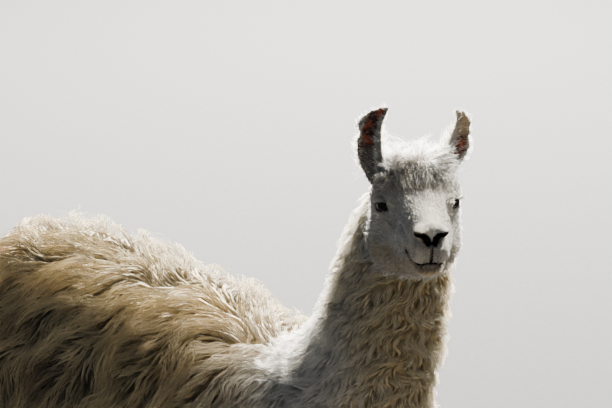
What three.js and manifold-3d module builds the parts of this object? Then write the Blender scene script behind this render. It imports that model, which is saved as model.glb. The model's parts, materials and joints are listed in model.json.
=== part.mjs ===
// A standing adult llama at life size, in millimetres: +Z up, the animal faces -Y, its left side is +X,
// and the origin is on the ground under the middle of its bounding box.
//
// The whole animal is one smooth signed distance field, out to the tips of its coat. Each node is that field
// turned into a mesh inside its own region, so neighbours line up, and a thin cut parts them.

import * as THREE from "three";
import { mergeVertices } from "three/addons/utils/BufferGeometryUtils.js";
import Module from "manifold-3d";

const wasm = await Module();
wasm.setup();

// ---------------------------------------------------------------- driving dimensions

const CUT = 0.3; // width of the cut between two nodes

// Side and top outlines of the fleece: the trunk's widest level lies between back and belly.
const TRUNK = [
  { y: -545, back: 990, belly: 905, level: 950, half: 25 },
  { y: -510, back: 1080, belly: 780, level: 930, half: 95 },
  { y: -430, back: 1138, belly: 682, level: 910, half: 168 },
  { y: -300, back: 1180, belly: 638, level: 885, half: 222 },
  { y: -120, back: 1218, belly: 604, level: 868, half: 262 },
  { y: 80, back: 1246, belly: 592, level: 866, half: 282 },
  { y: 280, back: 1262, belly: 620, level: 880, half: 286 },
  { y: 460, back: 1264, belly: 668, level: 905, half: 274 },
  { y: 590, back: 1244, belly: 708, level: 920, half: 238 },
  { y: 680, back: 1172, belly: 765, level: 935, half: 170 },
  { y: 732, back: 1020, belly: 880, level: 945, half: 40 },
];

// Centre line of the neck from the chest up to the back of the skull, with its radius in the fleece.
const NECK = [
  { x: 0, y: -275, z: 905, r: 190 },
  { x: 0, y: -348, z: 1010, r: 168 },
  { x: -2, y: -402, z: 1130, r: 148 },
  { x: -6, y: -454, z: 1270, r: 137 },
  { x: -13, y: -489, z: 1400, r: 123 },
  { x: -20, y: -510, z: 1490, r: 106 },
  { x: -24, y: -521, z: 1540, r: 86 },
  { x: -28, y: -530, z: 1584, r: 62 },
];
const NECK_WIDTH = 0.94; // its width over its depth

const EYES_AT = new THREE.Vector3(-95, -610, 1600); // the point midway between the eyes
const HEAD_TURN = THREE.MathUtils.degToRad(-42.5); // towards the animal's own right
const THROAT_FILLET = 14;
const EYE = { x: 60, y: 0, z: 3, r: 18 };

const FORELEG = [
  { x: 105, y: -325, z: 820, r: 108 },
  { x: 122, y: -312, z: 660, r: 84 },
  { x: 124, y: -312, z: 520, r: 62 },
  { x: 122, y: -322, z: 392, r: 46 },
  { x: 122, y: -320, z: 330, r: 38 },
  { x: 123, y: -316, z: 215, r: 33 },
  { x: 124, y: -318, z: 108, r: 38 },
  { x: 124, y: -334, z: 50, r: 33 },
];
const HINDLEG = [
  { x: 110, y: 470, z: 860, r: 140 },
  { x: 132, y: 440, z: 720, r: 122 },
  { x: 134, y: 500, z: 580, r: 80 },
  { x: 130, y: 572, z: 462, r: 52 },
  { x: 130, y: 578, z: 400, r: 43 },
  { x: 130, y: 562, z: 240, r: 35 },
  { x: 130, y: 548, z: 108, r: 39 },
  { x: 130, y: 532, z: 50, r: 33 },
];
const LEG_DEPTH = 1.12; // fore-and-aft size of a leg over its width
const FORELEG_TOP = 592; // level at which the leg leaves the trunk
const HINDLEG_TOP = 598;
const FOOT_TOP = 64;

const TOE = { side: 20, ahead: 14, half: new THREE.Vector3(19, 46, 26), splay: 0.1 };
const NAIL = { side: 22, ahead: 54, up: 15, half: new THREE.Vector3(9.5, 21, 12.5) };

const TAIL = [
  { x: 0, y: 640, z: 1075, r: 52 },
  { x: 0, y: 738, z: 1088, r: 47 },
  { x: 0, y: 795, z: 1050, r: 52 },
  { x: 0, y: 822, z: 960, r: 57 },
  { x: 0, y: 820, z: 860, r: 50 },
  { x: 0, y: 812, z: 785, r: 26 },
];
const TAIL_ROOT_Y = 752;

// Centre line of each ear from its foot to its tip, in the head's frame. The right one is pricked and hooked
// inwards; the left one is turned out.
const EAR_LINE = {
  left: [[54, 74, 4], [65, 72, 38], [82, 70, 86], [92, 68, 124], [91, 66, 148], [79, 64, 166]],
  right: [[50, 72, 4], [66, 70, 34], [80, 68, 80], [82, 66, 120], [74, 62, 152], [48, 58, 178]],
};
const EAR = { half: 26, wall: 7 };

const COAT = { color: 0xd9cdb6, roughness: 0.95, metalness: 0 };
const FACE = { color: 0xcfcac0, roughness: 0.85, metalness: 0 };
const EYEBALL = { color: 0x140c08, roughness: 0.08, metalness: 0 };
const HORN = { color: 0x4a4038, roughness: 0.6, metalness: 0 };

// ---------------------------------------------------------------- fields: distance in mm, negative inside

const at = (x, y, z) => new THREE.Vector3(x, y, z);

function ellipsoid(centre, half, turn = new THREE.Euler()) {
  const toLocal = new THREE.Matrix4().makeRotationFromEuler(turn).setPosition(centre).invert();
  const q = new THREE.Vector3();
  return (p) => {
    q.copy(p).applyMatrix4(toLocal).divide(half);
    const reach = q.length();
    return (reach * (reach - 1)) / Math.max(q.divide(half).length(), 1e-9);
  };
}

// A chain of tapered round links through stations {x, y, z, r}. stretch widens or deepens its section.
function chain(stations, stretch = at(1, 1, 1)) {
  const ends = stations.map((s) => at(s.x, s.y, s.z).divide(stretch));
  const links = ends.slice(1).map((b, i) => ({
    a: ends[i],
    along: b.clone().sub(ends[i]),
    ra: stations[i].r,
    taper: stations[i + 1].r - stations[i].r,
  }));
  const q = new THREE.Vector3();
  const nearest = new THREE.Vector3();
  return (p) => {
    let best = Infinity;
    for (const { a, along, ra, taper } of links) {
      q.copy(p).divide(stretch).sub(a);
      const t = THREE.MathUtils.clamp(q.dot(along) / along.lengthSq(), 0, 1);
      best = Math.min(best, q.sub(nearest.copy(along).multiplyScalar(t)).length() - ra - taper * t);
    }
    return best;
  };
}

// Union of fields whose meeting is filleted over about reach millimetres.
function blend(reach, ...fields) {
  return (p) => {
    let d = Infinity;
    for (const field of fields) {
      const e = field(p);
      const h = Math.max(reach - Math.abs(d - e), 0) / reach;
      d = Math.min(d, e) - (h * h * reach) / 4;
    }
    return d;
  };
}

const carve = (reach, body, ...tools) => {
  const filled = blend(reach, (p) => -body(p), ...tools);
  return (p) => -filled(p);
};

// Both sides of a symmetric animal from the left one.
function paired(field) {
  const q = new THREE.Vector3();
  return (p) => field(q.set(Math.abs(p.x), p.y, p.z));
}

// A smooth curve through a few stations, read by a rising key such as y or z.
function reader(stations, key, names) {
  return (value) => {
    const last = stations.length - 1;
    let i = 0;
    while (i < last - 1 && stations[i + 1][key] < value) i++;
    const from = stations[i];
    const to = stations[i + 1];
    const t = THREE.MathUtils.clamp((value - from[key]) / (to[key] - from[key]), 0, 1);
    const before = stations[Math.max(i - 1, 0)];
    const after = stations[Math.min(i + 2, last)];
    const slope = (a, b, name) => ((b[name] - a[name]) / (b[key] - a[key])) * (to[key] - from[key]);
    return names.map((name) => {
      const m0 = slope(before, to, name);
      const m1 = slope(from, after, name);
      const [a, b] = [from[name], to[name]];
      return a + t * (m0 + t * (3 * (b - a) - 2 * m0 - m1 + t * (m0 + m1 - 2 * (b - a))));
    });
  };
}

// ---------------------------------------------------------------- body

const trunkSection = reader(TRUNK, "y", ["back", "belly", "level", "half"]);

// The barrel of the body: an egg-shaped section whose fleece hangs fuller below its widest level.
function barrel(p) {
  const [back, belly, level, half] = trunkSection(p.y);
  const height = p.z > level ? back - level : level - belly;
  const power = p.z > level ? 2 : 2.35;
  const across = Math.abs(p.x) / Math.max(half, 1);
  const up = Math.abs(p.z - level) / Math.max(height, 1);
  const reach = (across ** power + up ** power) ** (1 / power);
  const size = Math.min(Math.max(half, 1), Math.max(height, 1));
  const beyond = Math.max(TRUNK[0].y - p.y, p.y - TRUNK[TRUNK.length - 1].y, 0);
  return Math.hypot(Math.max((reach - 1) * size, 0), beyond) + Math.min((reach - 1) * size, 0) * (beyond ? 0 : 1);
}

// The fleece lies in broad locks, which leave low ridges down the flanks.
const locks = (p) =>
  5 * Math.sin(p.y / 47 + p.z / 90) * Math.sin(p.z / 61 - p.y / 150) + 3 * Math.sin(p.x / 38 + p.y / 55);

const neckField = chain(NECK, at(NECK_WIDTH, 1, 1));
const foreleg = paired(chain(FORELEG, at(1, LEG_DEPTH, 1)));
const hindleg = paired(chain(HINDLEG, at(1, LEG_DEPTH, 1)));
const tailRoot = chain(TAIL.slice(0, 2));
const tailField = chain(TAIL);

const shoulders = paired(ellipsoid(at(112, -330, 885), at(100, 135, 200), new THREE.Euler(0.2, 0, 0)));
const breast = ellipsoid(at(0, -425, 885), at(112, 104, 170));
const haunches = paired(ellipsoid(at(140, 500, 905), at(140, 185, 225), new THREE.Euler(-0.15, 0, 0)));

const barrelMass = blend(90, barrel, breast, shoulders, haunches);
const trunkMass = blend(90, barrelMass, neckField);
const woolly = (p) => trunkMass(p) - locks(p);
const bodyField = blend(55, woolly, foreleg, hindleg);
const rumpField = blend(45, bodyField, tailRoot);

// ---------------------------------------------------------------- head, in its own frame with the eyes at the origin

function headShape() {
  const skull = blend(
    34,
    ellipsoid(at(0, 48, 8), at(67, 82, 56)), // braincase
    ellipsoid(at(0, -4, 14), at(56, 46, 38)), // forehead
    paired(chain([{ x: 56, y: 46, z: 18, r: 22 }, { x: 61, y: -4, z: 26, r: 13 }, { x: 36, y: -44, z: 14, r: 13 }])), // brow
    paired(ellipsoid(at(46, 8, 2), at(27, 30, 24))), // orbits
    chain([{ x: 0, y: -20, z: 8, r: 38 }, { x: 0, y: -85, z: 5, r: 28 }, { x: 0, y: -132, z: 3, r: 21 }]), // nose bridge
    paired(ellipsoid(at(40, 44, -66), at(43, 68, 73), new THREE.Euler(0.12, 0, 0))), // cheeks
    paired(ellipsoid(at(27, -56, -36), at(29, 60, 40), new THREE.Euler(0, 0, -0.12))), // side of the muzzle
    chain([{ x: 0, y: 40, z: -94, r: 52 }, { x: 0, y: -56, z: -82, r: 35 }, { x: 0, y: -114, z: -72, r: 20 }]), // jaw
  );
  const muzzle = blend(
    12,
    skull,
    ellipsoid(at(0, -122, -20), at(34, 37, 34)),
    paired(ellipsoid(at(17, -137, -34), at(20, 24, 25), new THREE.Euler(0, 0, 0.3))), // the two halves of the upper lip
    paired(ellipsoid(at(18, -141, 6), at(13, 17, 13), new THREE.Euler(0, 0, 0.4))), // nostril wings
    ellipsoid(at(0, -125, -76), at(26, 26, 15)), // lower lip and chin
  );
  const topknot = ellipsoid(at(0, 56, 50), at(58, 54, 44));
  const sockets = paired(ellipsoid(at(EYE.x + 12, EYE.y - 14, EYE.z), at(17, 22, 13), new THREE.Euler(0, 0, 0.5)));
  const nostrils = paired(
    chain([{ x: 8, y: -165, z: -6, r: 4 }, { x: 15, y: -162, z: 3, r: 5.5 }, { x: 23, y: -154, z: 8, r: 4.5 }]),
  );
  const lipCleft = chain([{ x: 0, y: -168, z: -12, r: 3 }, { x: 0, y: -165, z: -58, r: 5 }]);
  const mouth = paired(
    chain([{ x: 0, y: -160, z: -60, r: 4 }, { x: 24, y: -145, z: -60, r: 4 }, { x: 40, y: -96, z: -50, r: 3.5 }]),
  );
  return carve(7, blend(20, muzzle, topknot), sockets, nostrils, lipCleft, mouth);
}
const headField = headShape();

const headFrame = new THREE.Matrix4().makeRotationZ(HEAD_TURN).setPosition(EYES_AT);
const headFromBody = headFrame.clone().invert();

function headInBody() {
  const q = new THREE.Vector3();
  return (p) => headField(q.copy(p).applyMatrix4(headFromBody));
}
const throatField = blend(THROAT_FILLET, neckField, headInBody());

function throatInHead() {
  const q = new THREE.Vector3();
  const neckHere = (p) => neckField(q.copy(p).applyMatrix4(headFrame));
  return blend(THROAT_FILLET, neckHere, headField);
}

// ---------------------------------------------------------------- meshing

// Grid lines from low to high, about step apart. ease below 1 packs them closer towards low.
function lines(low, high, step, ease = 1) {
  const count = Math.ceil((high - low) / step);
  const even = Array.from({ length: count + 1 }, (_, i) => i / count);
  return even.map((t) => low + (high - low) * (ease * t + (1 - ease) * t * t));
}

// Surface nets: one vertex in each cell that the surface passes through, slid onto the surface, and one
// quad across each grid edge that it crosses. The body is closed off just inside the grid it is meshed on.
function polygonise(open, xs, ys, zs) {
  const [nx, ny, nz] = [xs.length, ys.length, zs.length];
  const inset = (grid, v) => Math.max(0.4 * grid[0] + 0.6 * grid[1] - v, v - 0.6 * grid.at(-2) - 0.4 * grid.at(-1));
  const field = (p) => Math.max(open(p), inset(xs, p.x), inset(ys, p.y), inset(zs, p.z));
  const index = (i, j, k) => i + nx * (j + ny * k);
  const value = new Float32Array(nx * ny * nz);
  for (let k = 0; k < nz; k++) {
    for (let j = 0; j < ny; j++) {
      for (let i = 0; i < nx; i++) value[index(i, j, k)] = field(at(xs[i], ys[j], zs[k]));
    }
  }

  const corners = [0, 1, 2, 3, 4, 5, 6, 7].map((c) => [c & 1, (c >> 1) & 1, c >> 2]);
  const edges = corners.flatMap((_, a) => [1, 2, 4].filter((bit) => !(a & bit)).map((bit) => [a, a | bit]));
  const vertexOf = new Int32Array(nx * ny * nz).fill(-1);
  const points = [];
  for (let k = 0; k < nz - 1; k++) {
    for (let j = 0; j < ny - 1; j++) {
      for (let i = 0; i < nx - 1; i++) {
        const d = corners.map(([a, b, c]) => value[index(i + a, j + b, k + c)]);
        const crossed = edges.filter(([a, b]) => d[a] < 0 !== d[b] < 0);
        if (crossed.length === 0) continue;
        const mean = at(0, 0, 0);
        for (const [a, b] of crossed) {
          const t = d[a] / (d[a] - d[b]);
          const [u, v, w] = corners[a].map((from, axis) => from + t * (corners[b][axis] - from));
          mean.add(at(u, v, w).divideScalar(crossed.length));
        }
        const near = at(xs[i], ys[j], zs[k]);
        const cell = at(xs[i + 1], ys[j + 1], zs[k + 1]).sub(near);
        vertexOf[index(i, j, k)] = points.length;
        points.push(ontoSurface(field, mean, near, cell));
      }
    }
  }

  const faces = [];
  const quad = (a, b, c, d) => {
    const short = points[a].distanceToSquared(points[c]) < points[b].distanceToSquared(points[d]);
    faces.push(...(short ? [a, b, c, a, c, d] : [a, b, d, b, c, d]));
  };
  const crossing = (inside, [i, j, k], to, u, v) => {
    if (inside === value[index(...to)] < 0) return;
    const cellAt = (s, t) => vertexOf[index(i - s * u[0] - t * v[0], j - s * u[1] - t * v[1], k - s * u[2] - t * v[2])];
    const [a, b, c, d] = [cellAt(0, 0), cellAt(1, 0), cellAt(1, 1), cellAt(0, 1)];
    if (inside) quad(a, b, c, d);
    else quad(a, d, c, b);
  };
  for (let k = 0; k < nz - 1; k++) {
    for (let j = 0; j < ny - 1; j++) {
      for (let i = 0; i < nx - 1; i++) {
        const inside = value[index(i, j, k)] < 0;
        crossing(inside, [i, j, k], [i + 1, j, k], [0, 1, 0], [0, 0, 1]);
        crossing(inside, [i, j, k], [i, j + 1, k], [0, 0, 1], [1, 0, 0]);
        crossing(inside, [i, j, k], [i, j, k + 1], [1, 0, 0], [0, 1, 0]);
      }
    }
  }
  return new THREE.BufferGeometry().setFromPoints(points).setIndex(faces);
}

// Slides a point, given as fractions of its cell, along the field's slope onto the surface, within that cell.
function ontoSurface(field, fractions, near, cell) {
  const margin = cell.clone().multiplyScalar(0.04);
  const [low, high] = [near.clone().add(margin), near.clone().add(cell).sub(margin)];
  const p = fractions.multiply(cell).add(near);
  const step = 0.05 * Math.min(cell.x, cell.y, cell.z);
  const probe = (x, y, z) => field(at(p.x + x, p.y + y, p.z + z));
  for (let pass = 0; pass < 3; pass++) {
    const slope = at(
      probe(step, 0, 0) - probe(-step, 0, 0),
      probe(0, step, 0) - probe(0, -step, 0),
      probe(0, 0, step) - probe(0, 0, -step),
    ).divideScalar(2 * step);
    p.addScaledVector(slope, -field(p) / Math.max(slope.lengthSq(), 0.2)).clamp(low, high);
  }
  return p;
}

// ---------------------------------------------------------------- solids

function solidOf(geometry) {
  const bare = geometry.clone();
  bare.deleteAttribute("normal");
  bare.deleteAttribute("uv");
  const merged = mergeVertices(bare, 1e-4);
  return new wasm.Manifold(
    new wasm.Mesh({
      numProp: 3,
      vertProperties: new Float32Array(merged.attributes.position.array),
      triVerts: new Uint32Array(merged.index.array),
    }),
  );
}

function geometryOf(solid) {
  const mesh = solid.getMesh();
  const geometry = new THREE.BufferGeometry();
  geometry.setAttribute("position", new THREE.BufferAttribute(mesh.vertProperties, 3));
  return geometry.setIndex(new THREE.BufferAttribute(mesh.triVerts, 1));
}

function block(low, high) {
  const size = high.clone().sub(low);
  return new THREE.BoxGeometry(size.x, size.y, size.z).translate(...low.clone().addScaledVector(size, 0.5).toArray());
}

// Everything on the far side of a plane that passes through a point and faces along a normal.
function beyond(point, normal) {
  const reach = 4000;
  const turn = new THREE.Quaternion().setFromUnitVectors(at(0, 0, 1), normal.clone().normalize());
  const half = new THREE.BoxGeometry(reach, reach, reach).translate(0, 0, reach / 2);
  return solidOf(half.applyQuaternion(turn).translate(point.x, point.y, point.z));
}

// The two sides of a thin cut through a point: what lies ahead of the normal, and what lies behind it.
function parting(point, normal) {
  const unit = normal.clone().normalize();
  return {
    front: beyond(point.clone().addScaledVector(unit, CUT / 2), unit),
    rear: beyond(point.clone().addScaledVector(unit, -CUT / 2), unit.clone().negate()),
  };
}

const llama = new THREE.Group();
const materials = new Map();

function node(name, solid, look, parent = llama) {
  if (!materials.has(look)) materials.set(look, new THREE.MeshStandardMaterial(look));
  const mesh = new THREE.Mesh(geometryOf(solid), materials.get(look));
  mesh.name = name;
  parent.add(mesh);
  return mesh;
}

// ---------------------------------------------------------------- where the body is parted

const neckRoot = parting(at(0, -395, 1085), at(0, -0.42, 0.9));
const headRoot = parting(at(0, 74, -62), at(0, 0.9, -0.44)); // in the head's frame
const muzzleRoot = parting(at(0, -84, -30), at(0, -1, 0)); // in the head's frame
const tailCut = parting(at(0, TAIL_ROOT_Y, 1080), at(0, 1, -0.1));

function legZone(side, leg, top) {
  const [y, reach] = [leg[3].y, 190];
  const inner = side > 0 ? 8 : -330;
  return block(at(inner, y - reach, -40), at(inner + 322, y + reach, top));
}

const LEGS = [
  { name: "foreleg", foot: "forefoot", stations: FORELEG, field: foreleg, top: FORELEG_TOP },
  { name: "hindleg", foot: "hindfoot", stations: HINDLEG, field: hindleg, top: HINDLEG_TOP },
];
const SIDES = [
  { name: "left", sign: 1 },
  { name: "right", sign: -1 },
];

// ---------------------------------------------------------------- trunk, neck and tail

function trunk() {
  let solid = solidOf(polygonise(rumpField, lines(-350, 350, 69), lines(-640, 860, 79), lines(505, 1340, 66)));
  for (const leg of LEGS) {
    for (const { sign } of SIDES) {
      solid = solid.subtract(solidOf(legZone(sign, leg.stations, leg.top + CUT / 2)));
    }
  }
  node("trunk", solid.intersect(neckRoot.rear).intersect(tailCut.rear), COAT);
}

function neck() {
  const field = blend(90, barrelMass, throatField);
  const whole = solidOf(polygonise(field, lines(-260, 230, 43), lines(-780, -190, 46), lines(930, 1720, 62)));
  const below = headRoot.front.transform(headFrame.elements);
  const ahead = solidOf(block(at(-400, -900, 900), at(400, 60, 1760)));
  node("neck", whole.intersect(neckRoot.front).intersect(below).intersect(ahead), COAT);
}

function tail() {
  const whole = solidOf(polygonise(tailField, lines(-90, 90, 30), lines(600, 910, 32), lines(720, 1180, 44)));
  node("tail", whole.intersect(tailCut.front), COAT);
}

// ---------------------------------------------------------------- head, eyes and ears

const headGroup = new THREE.Group();
headGroup.position.copy(EYES_AT);
headGroup.rotation.z = HEAD_TURN;
llama.add(headGroup);

function head() {
  const muzzleGrid = [lines(-62, 62, 10), lines(-182, -62, 10), lines(-126, 50, 9.6)];
  const muzzle = solidOf(polygonise(headField, ...muzzleGrid)).intersect(muzzleRoot.front);
  node("muzzle", muzzle, FACE, headGroup);

  const grid = [lines(-126, 126, 17), lines(-118, 200, 19, 0.9), lines(-200, 126, 18.5)];
  let solid = solidOf(polygonise(throatInHead(), ...grid));
  solid = solid.intersect(headRoot.rear).intersect(muzzleRoot.rear);
  for (const { name, sign } of SIDES) {
    const centre = at(sign * EYE.x, EYE.y, EYE.z);
    const ball = (r) => solidOf(new THREE.SphereGeometry(r, 10, 8).translate(...centre.toArray()));
    solid = solid.subtract(ball(EYE.r + CUT));
    node(`eye_${name}`, ball(EYE.r), EYEBALL, headGroup);
    solid = solid.subtract(ear(name, sign, CUT));
    node(`ear_${name}`, ear(name, sign), FACE, headGroup);
  }
  const bodies = solid.decompose().sort((a, b) => b.volume() - a.volume());
  node("head", bodies[0], FACE, headGroup);
}

// A curved shell from rings of equal length. Each ring runs along its outer face and back along its inner one.
function shell(rings) {
  const size = rings[0].length;
  const faces = [];
  const quad = (a, b, c, d) => faces.push(a, b, c, a, c, d);
  for (let i = 0; i < rings.length - 1; i++) {
    for (let j = 0; j < size; j++) {
      const [a, b] = [i * size + j, i * size + ((j + 1) % size)];
      quad(a, b, b + size, a + size);
    }
  }
  const last = (rings.length - 1) * size;
  for (let j = 0; j < size / 2 - 1; j++) {
    const [a, b, c, d] = [j, j + 1, size - 2 - j, size - 1 - j];
    quad(d, c, b, a);
    quad(last + a, last + b, last + c, last + d);
  }
  return new THREE.BufferGeometry().setFromPoints(rings.flat()).setIndex(faces);
}

// A banana-shaped ear: a curved shell, open to the front and outside. grow thickens it, for its seat.
function ear(name, sign, grow = 0) {
  const axis = new THREE.CatmullRomCurve3(EAR_LINE[name].map((p) => at(...p)));
  const stations = 10;
  const around = 6;
  const rings = [];
  for (let i = 0; i <= stations; i++) {
    const t = i / stations;
    const centre = axis.getPointAt(t);
    const along = axis.getTangentAt(t);
    if (i === 0) centre.addScaledVector(along, -3 * grow);
    const half = EAR.half * Math.sin(Math.PI * Math.min(0.16 + 0.62 * t, 1) ** 0.9) ** 0.7 * (1 - 0.82 * t ** 7);
    const depth = 0.75 * half;
    const wall = (EAR.wall / 2) * (1 - 0.45 * t) + grow;
    const side = at(0.5, -0.87, 0).cross(along).normalize();
    const front = along.clone().cross(side).normalize();
    const spread = 1.5 + (1.5 * grow) / half;
    const point = (angle, offset) =>
      centre
        .clone()
        .addScaledVector(side, Math.sin(angle) * (half + offset))
        .addScaledVector(front, 0.35 * depth - Math.cos(angle) * (depth + offset));
    const ring = [];
    for (let j = 0; j <= around; j++) ring.push(point(spread * ((2 * j) / around - 1), wall));
    for (let j = around; j >= 0; j--) ring.push(point(spread * ((2 * j) / around - 1), -wall));
    rings.push(ring.map((p) => p.setX(sign * p.x)));
  }
  return solidOf(shell(sign > 0 ? rings : rings.map((ring) => ring.reverse())));
}

// ---------------------------------------------------------------- legs, feet and nails

function footField(leg) {
  const ankle = leg.stations.at(-1);
  const toes = paired(
    ellipsoid(at(TOE.side, -TOE.ahead, TOE.half.z - 8), TOE.half, new THREE.Euler(0.08, 0, TOE.splay)),
  );
  const heel = ellipsoid(at(0, 20, 20), at(31, 26, 26));
  const q = new THREE.Vector3();
  const foot = blend(10, toes, heel);
  const placed = (p) => foot(q.set(Math.abs(p.x) - ankle.x, p.y - ankle.y, p.z));
  return blend(16, leg.field, placed);
}

function legs() {
  for (const leg of LEGS) {
    const joined = blend(55, woolly, leg.field);
    const ankle = leg.stations.at(-1);
    const footShape = footField(leg);
    for (const { name, sign } of SIDES) {
      const zone = legZone(sign, leg.stations, leg.top - CUT / 2);
      zone.computeBoundingBox();
      const { min, max } = zone.boundingBox;
      const grid = [lines(min.x - 20, max.x + 20, 33), lines(min.y, max.y, 36), lines(10, leg.top + 70, 58, 0.6)];
      const whole = solidOf(polygonise(joined, ...grid));
      const shank = beyond(at(0, 0, FOOT_TOP + CUT / 2), at(0, 0, 1));
      node(`${leg.name}_${name}`, whole.intersect(solidOf(zone)).intersect(shank), COAT);

      const centre = at(sign * ankle.x, ankle.y - 10, 0);
      const across = lines(centre.x - 62, centre.x + 62, 20);
      const footGrid = [across, lines(centre.y - 92, centre.y + 84, 26), lines(-24, FOOT_TOP + 30, 27)];
      let foot = solidOf(polygonise(footShape, ...footGrid));
      foot = foot.intersect(beyond(at(0, 0, 0), at(0, 0, 1)));
      foot = foot.intersect(beyond(at(0, 0, FOOT_TOP - CUT / 2), at(0, 0, -1)));
      for (const [toe, side] of [["outer", 1], ["inner", -1]]) {
        const spot = at(sign * (ankle.x + side * NAIL.side), ankle.y - NAIL.ahead, NAIL.up);
        foot = foot.subtract(nail(spot, CUT));
        node(`${leg.foot}_${name}_${toe}_nail`, nail(spot).intersect(beyond(at(0, 0, 0), at(0, 0, 1))), HORN);
      }
      node(`${leg.foot}_${name}`, foot, COAT);
    }
  }
}

// A blunt horny nail, an egg pitched down towards the ground.
function nail(spot, grow = 0) {
  const shape = new THREE.SphereGeometry(1, 8, 5);
  shape.scale(NAIL.half.x + grow, NAIL.half.y + grow, NAIL.half.z + grow);
  return solidOf(shape.rotateX(0.35).translate(spot.x, spot.y, spot.z));
}

trunk();
neck();
tail();
head();
legs();

// Puts the origin on the ground under the middle of the animal.
const bounds = new THREE.Box3().setFromObject(llama, true);
const middle = bounds.getCenter(new THREE.Vector3());
llama.position.set(-middle.x, -middle.y, -bounds.min.z);

export default llama;
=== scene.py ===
import json
import math

import bpy
import numpy as np
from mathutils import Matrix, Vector, kdtree
from mathutils.bvhtree import BVHTree

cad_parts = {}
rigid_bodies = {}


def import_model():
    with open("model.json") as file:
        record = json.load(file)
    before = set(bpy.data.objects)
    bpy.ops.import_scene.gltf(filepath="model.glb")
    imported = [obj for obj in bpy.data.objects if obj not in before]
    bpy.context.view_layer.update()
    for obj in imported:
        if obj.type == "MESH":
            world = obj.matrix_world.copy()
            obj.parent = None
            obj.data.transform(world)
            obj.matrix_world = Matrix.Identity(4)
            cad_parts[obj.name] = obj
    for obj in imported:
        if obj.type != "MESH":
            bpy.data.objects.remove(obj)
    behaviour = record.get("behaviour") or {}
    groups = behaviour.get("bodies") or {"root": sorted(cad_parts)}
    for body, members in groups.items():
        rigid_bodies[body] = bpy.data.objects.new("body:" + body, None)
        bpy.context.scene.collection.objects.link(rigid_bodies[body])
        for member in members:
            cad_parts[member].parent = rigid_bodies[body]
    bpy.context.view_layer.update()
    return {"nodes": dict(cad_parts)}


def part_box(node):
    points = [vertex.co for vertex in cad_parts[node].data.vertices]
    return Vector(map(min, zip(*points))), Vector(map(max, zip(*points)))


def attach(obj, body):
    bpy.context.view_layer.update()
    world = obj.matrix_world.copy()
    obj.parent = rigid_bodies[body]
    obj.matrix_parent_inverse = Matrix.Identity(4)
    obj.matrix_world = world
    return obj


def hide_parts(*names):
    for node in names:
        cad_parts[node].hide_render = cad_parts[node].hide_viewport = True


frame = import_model()

nodes = frame["nodes"]
rng = np.random.default_rng(7)

# ---------------------------------------------------------------- the head's own frame
# A head is measured from its eyes: the frame's middle lies between them, x runs to the animal's left, y to
# its poll and z up, in millimetres. The face below is all given in it.
MM = 0.001
EYE = {"x": 60.0, "y": 0.0, "z": 5.0, "r": 17.6}
SOLID_EYE_UP = 3.0  # the solids' plain eyes lie a little lower than the lidded ones

eye_spot = {side: sum(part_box(f"eye_{side}"), Vector()) / 2 for side in ("left", "right")}
across = (eye_spot["left"] - eye_spot["right"]).normalized()
head_axes = np.array([across, Vector((0, 0, 1)).cross(across), (0, 0, 1)])
head_middle = np.array((eye_spot["left"] + eye_spot["right"]) / 2) - (0, 0, SOLID_EYE_UP * MM)


def to_head(points):
    return (points - head_middle) @ head_axes.T / MM


def from_head(points):
    return np.asarray(points) * MM @ head_axes + head_middle


def smoothstep(low, high, value):
    t = np.clip((value - low) / (high - low), 0, 1)
    return t * t * (3 - 2 * t)


def unit(vectors):
    return vectors / np.maximum(np.linalg.norm(vectors, axis=-1, keepdims=True), 1e-9)


def gap(points, spot, stretch=1):
    """How far each point is from a spot, counted in stretches along each axis."""
    return np.linalg.norm((points - spot) / stretch, axis=1)


# ---------------------------------------------------------------- the hide
# One skin covers the whole animal, with no seam from nose to tail. It is remeshed from the solids of the
# flesh, and lies inside them by the depth of the coat: hardly any on the face, a hand's breadth on the flank.
FLESH = ["trunk", "neck", "tail", "head", "muzzle", "ear_left", "ear_right"]
FLESH += [
    f"{part}_{side}" for part in ("foreleg", "forefoot", "hindleg", "hindfoot") for side in ("left", "right")
]
VOXEL = 0.0125
FINE_REACH = 0.205  # round the head the mesh is finer than elsewhere, out to here
FINENESS = 4.1
FADE = 0.05
BODY_SHARE = 0.42  # of the body's faces that are kept under the wool

fine_middle = from_head((0, 0, 20))


def swollen(reach):
    past = np.maximum(reach - FINE_REACH, 0)
    fading = (FINENESS - 1) * FADE * (1 - np.exp(-past / FADE))
    return FINENESS * np.minimum(reach, FINE_REACH) + past + fading


def magnify(points):
    """Swells space round the head, so that an even remesh gives the face small faces."""
    away = points - fine_middle
    reach = np.linalg.norm(away, axis=1)
    return fine_middle + away * (swollen(reach) / np.maximum(reach, 1e-9))[:, None]


def unmagnify(points):
    away = points - fine_middle
    target = np.linalg.norm(away, axis=1)
    reach = target / FINENESS
    for _ in range(12):
        past = np.maximum(reach - FINE_REACH, 0)
        slope = np.where(reach < FINE_REACH, FINENESS, 1 + (FINENESS - 1) * np.exp(-past / FADE))
        reach = reach + (target - swollen(reach)) / slope
    return fine_middle + away * (reach / np.maximum(target, 1e-9))[:, None]


def read_points(mesh):
    values = np.empty(len(mesh.vertices) * 3)
    mesh.vertices.foreach_get("co", values)
    return values.reshape(-1, 3)


def read_normals(mesh):
    values = np.empty(len(mesh.vertices) * 3)
    mesh.vertices.foreach_get("normal", values)
    return values.reshape(-1, 3)


def write_points(mesh, points):
    mesh.vertices.foreach_set("co", points.ravel())
    mesh.update()


def new_piece(name, data):
    piece = bpy.data.objects.new(name, data)
    bpy.context.scene.collection.objects.link(piece)
    return piece


def select_only(piece):
    bpy.ops.object.select_all(action="DESELECT")
    piece.select_set(True)
    bpy.context.view_layer.objects.active = piece


SHRINK = 0.52
SWELL = -0.545


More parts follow.
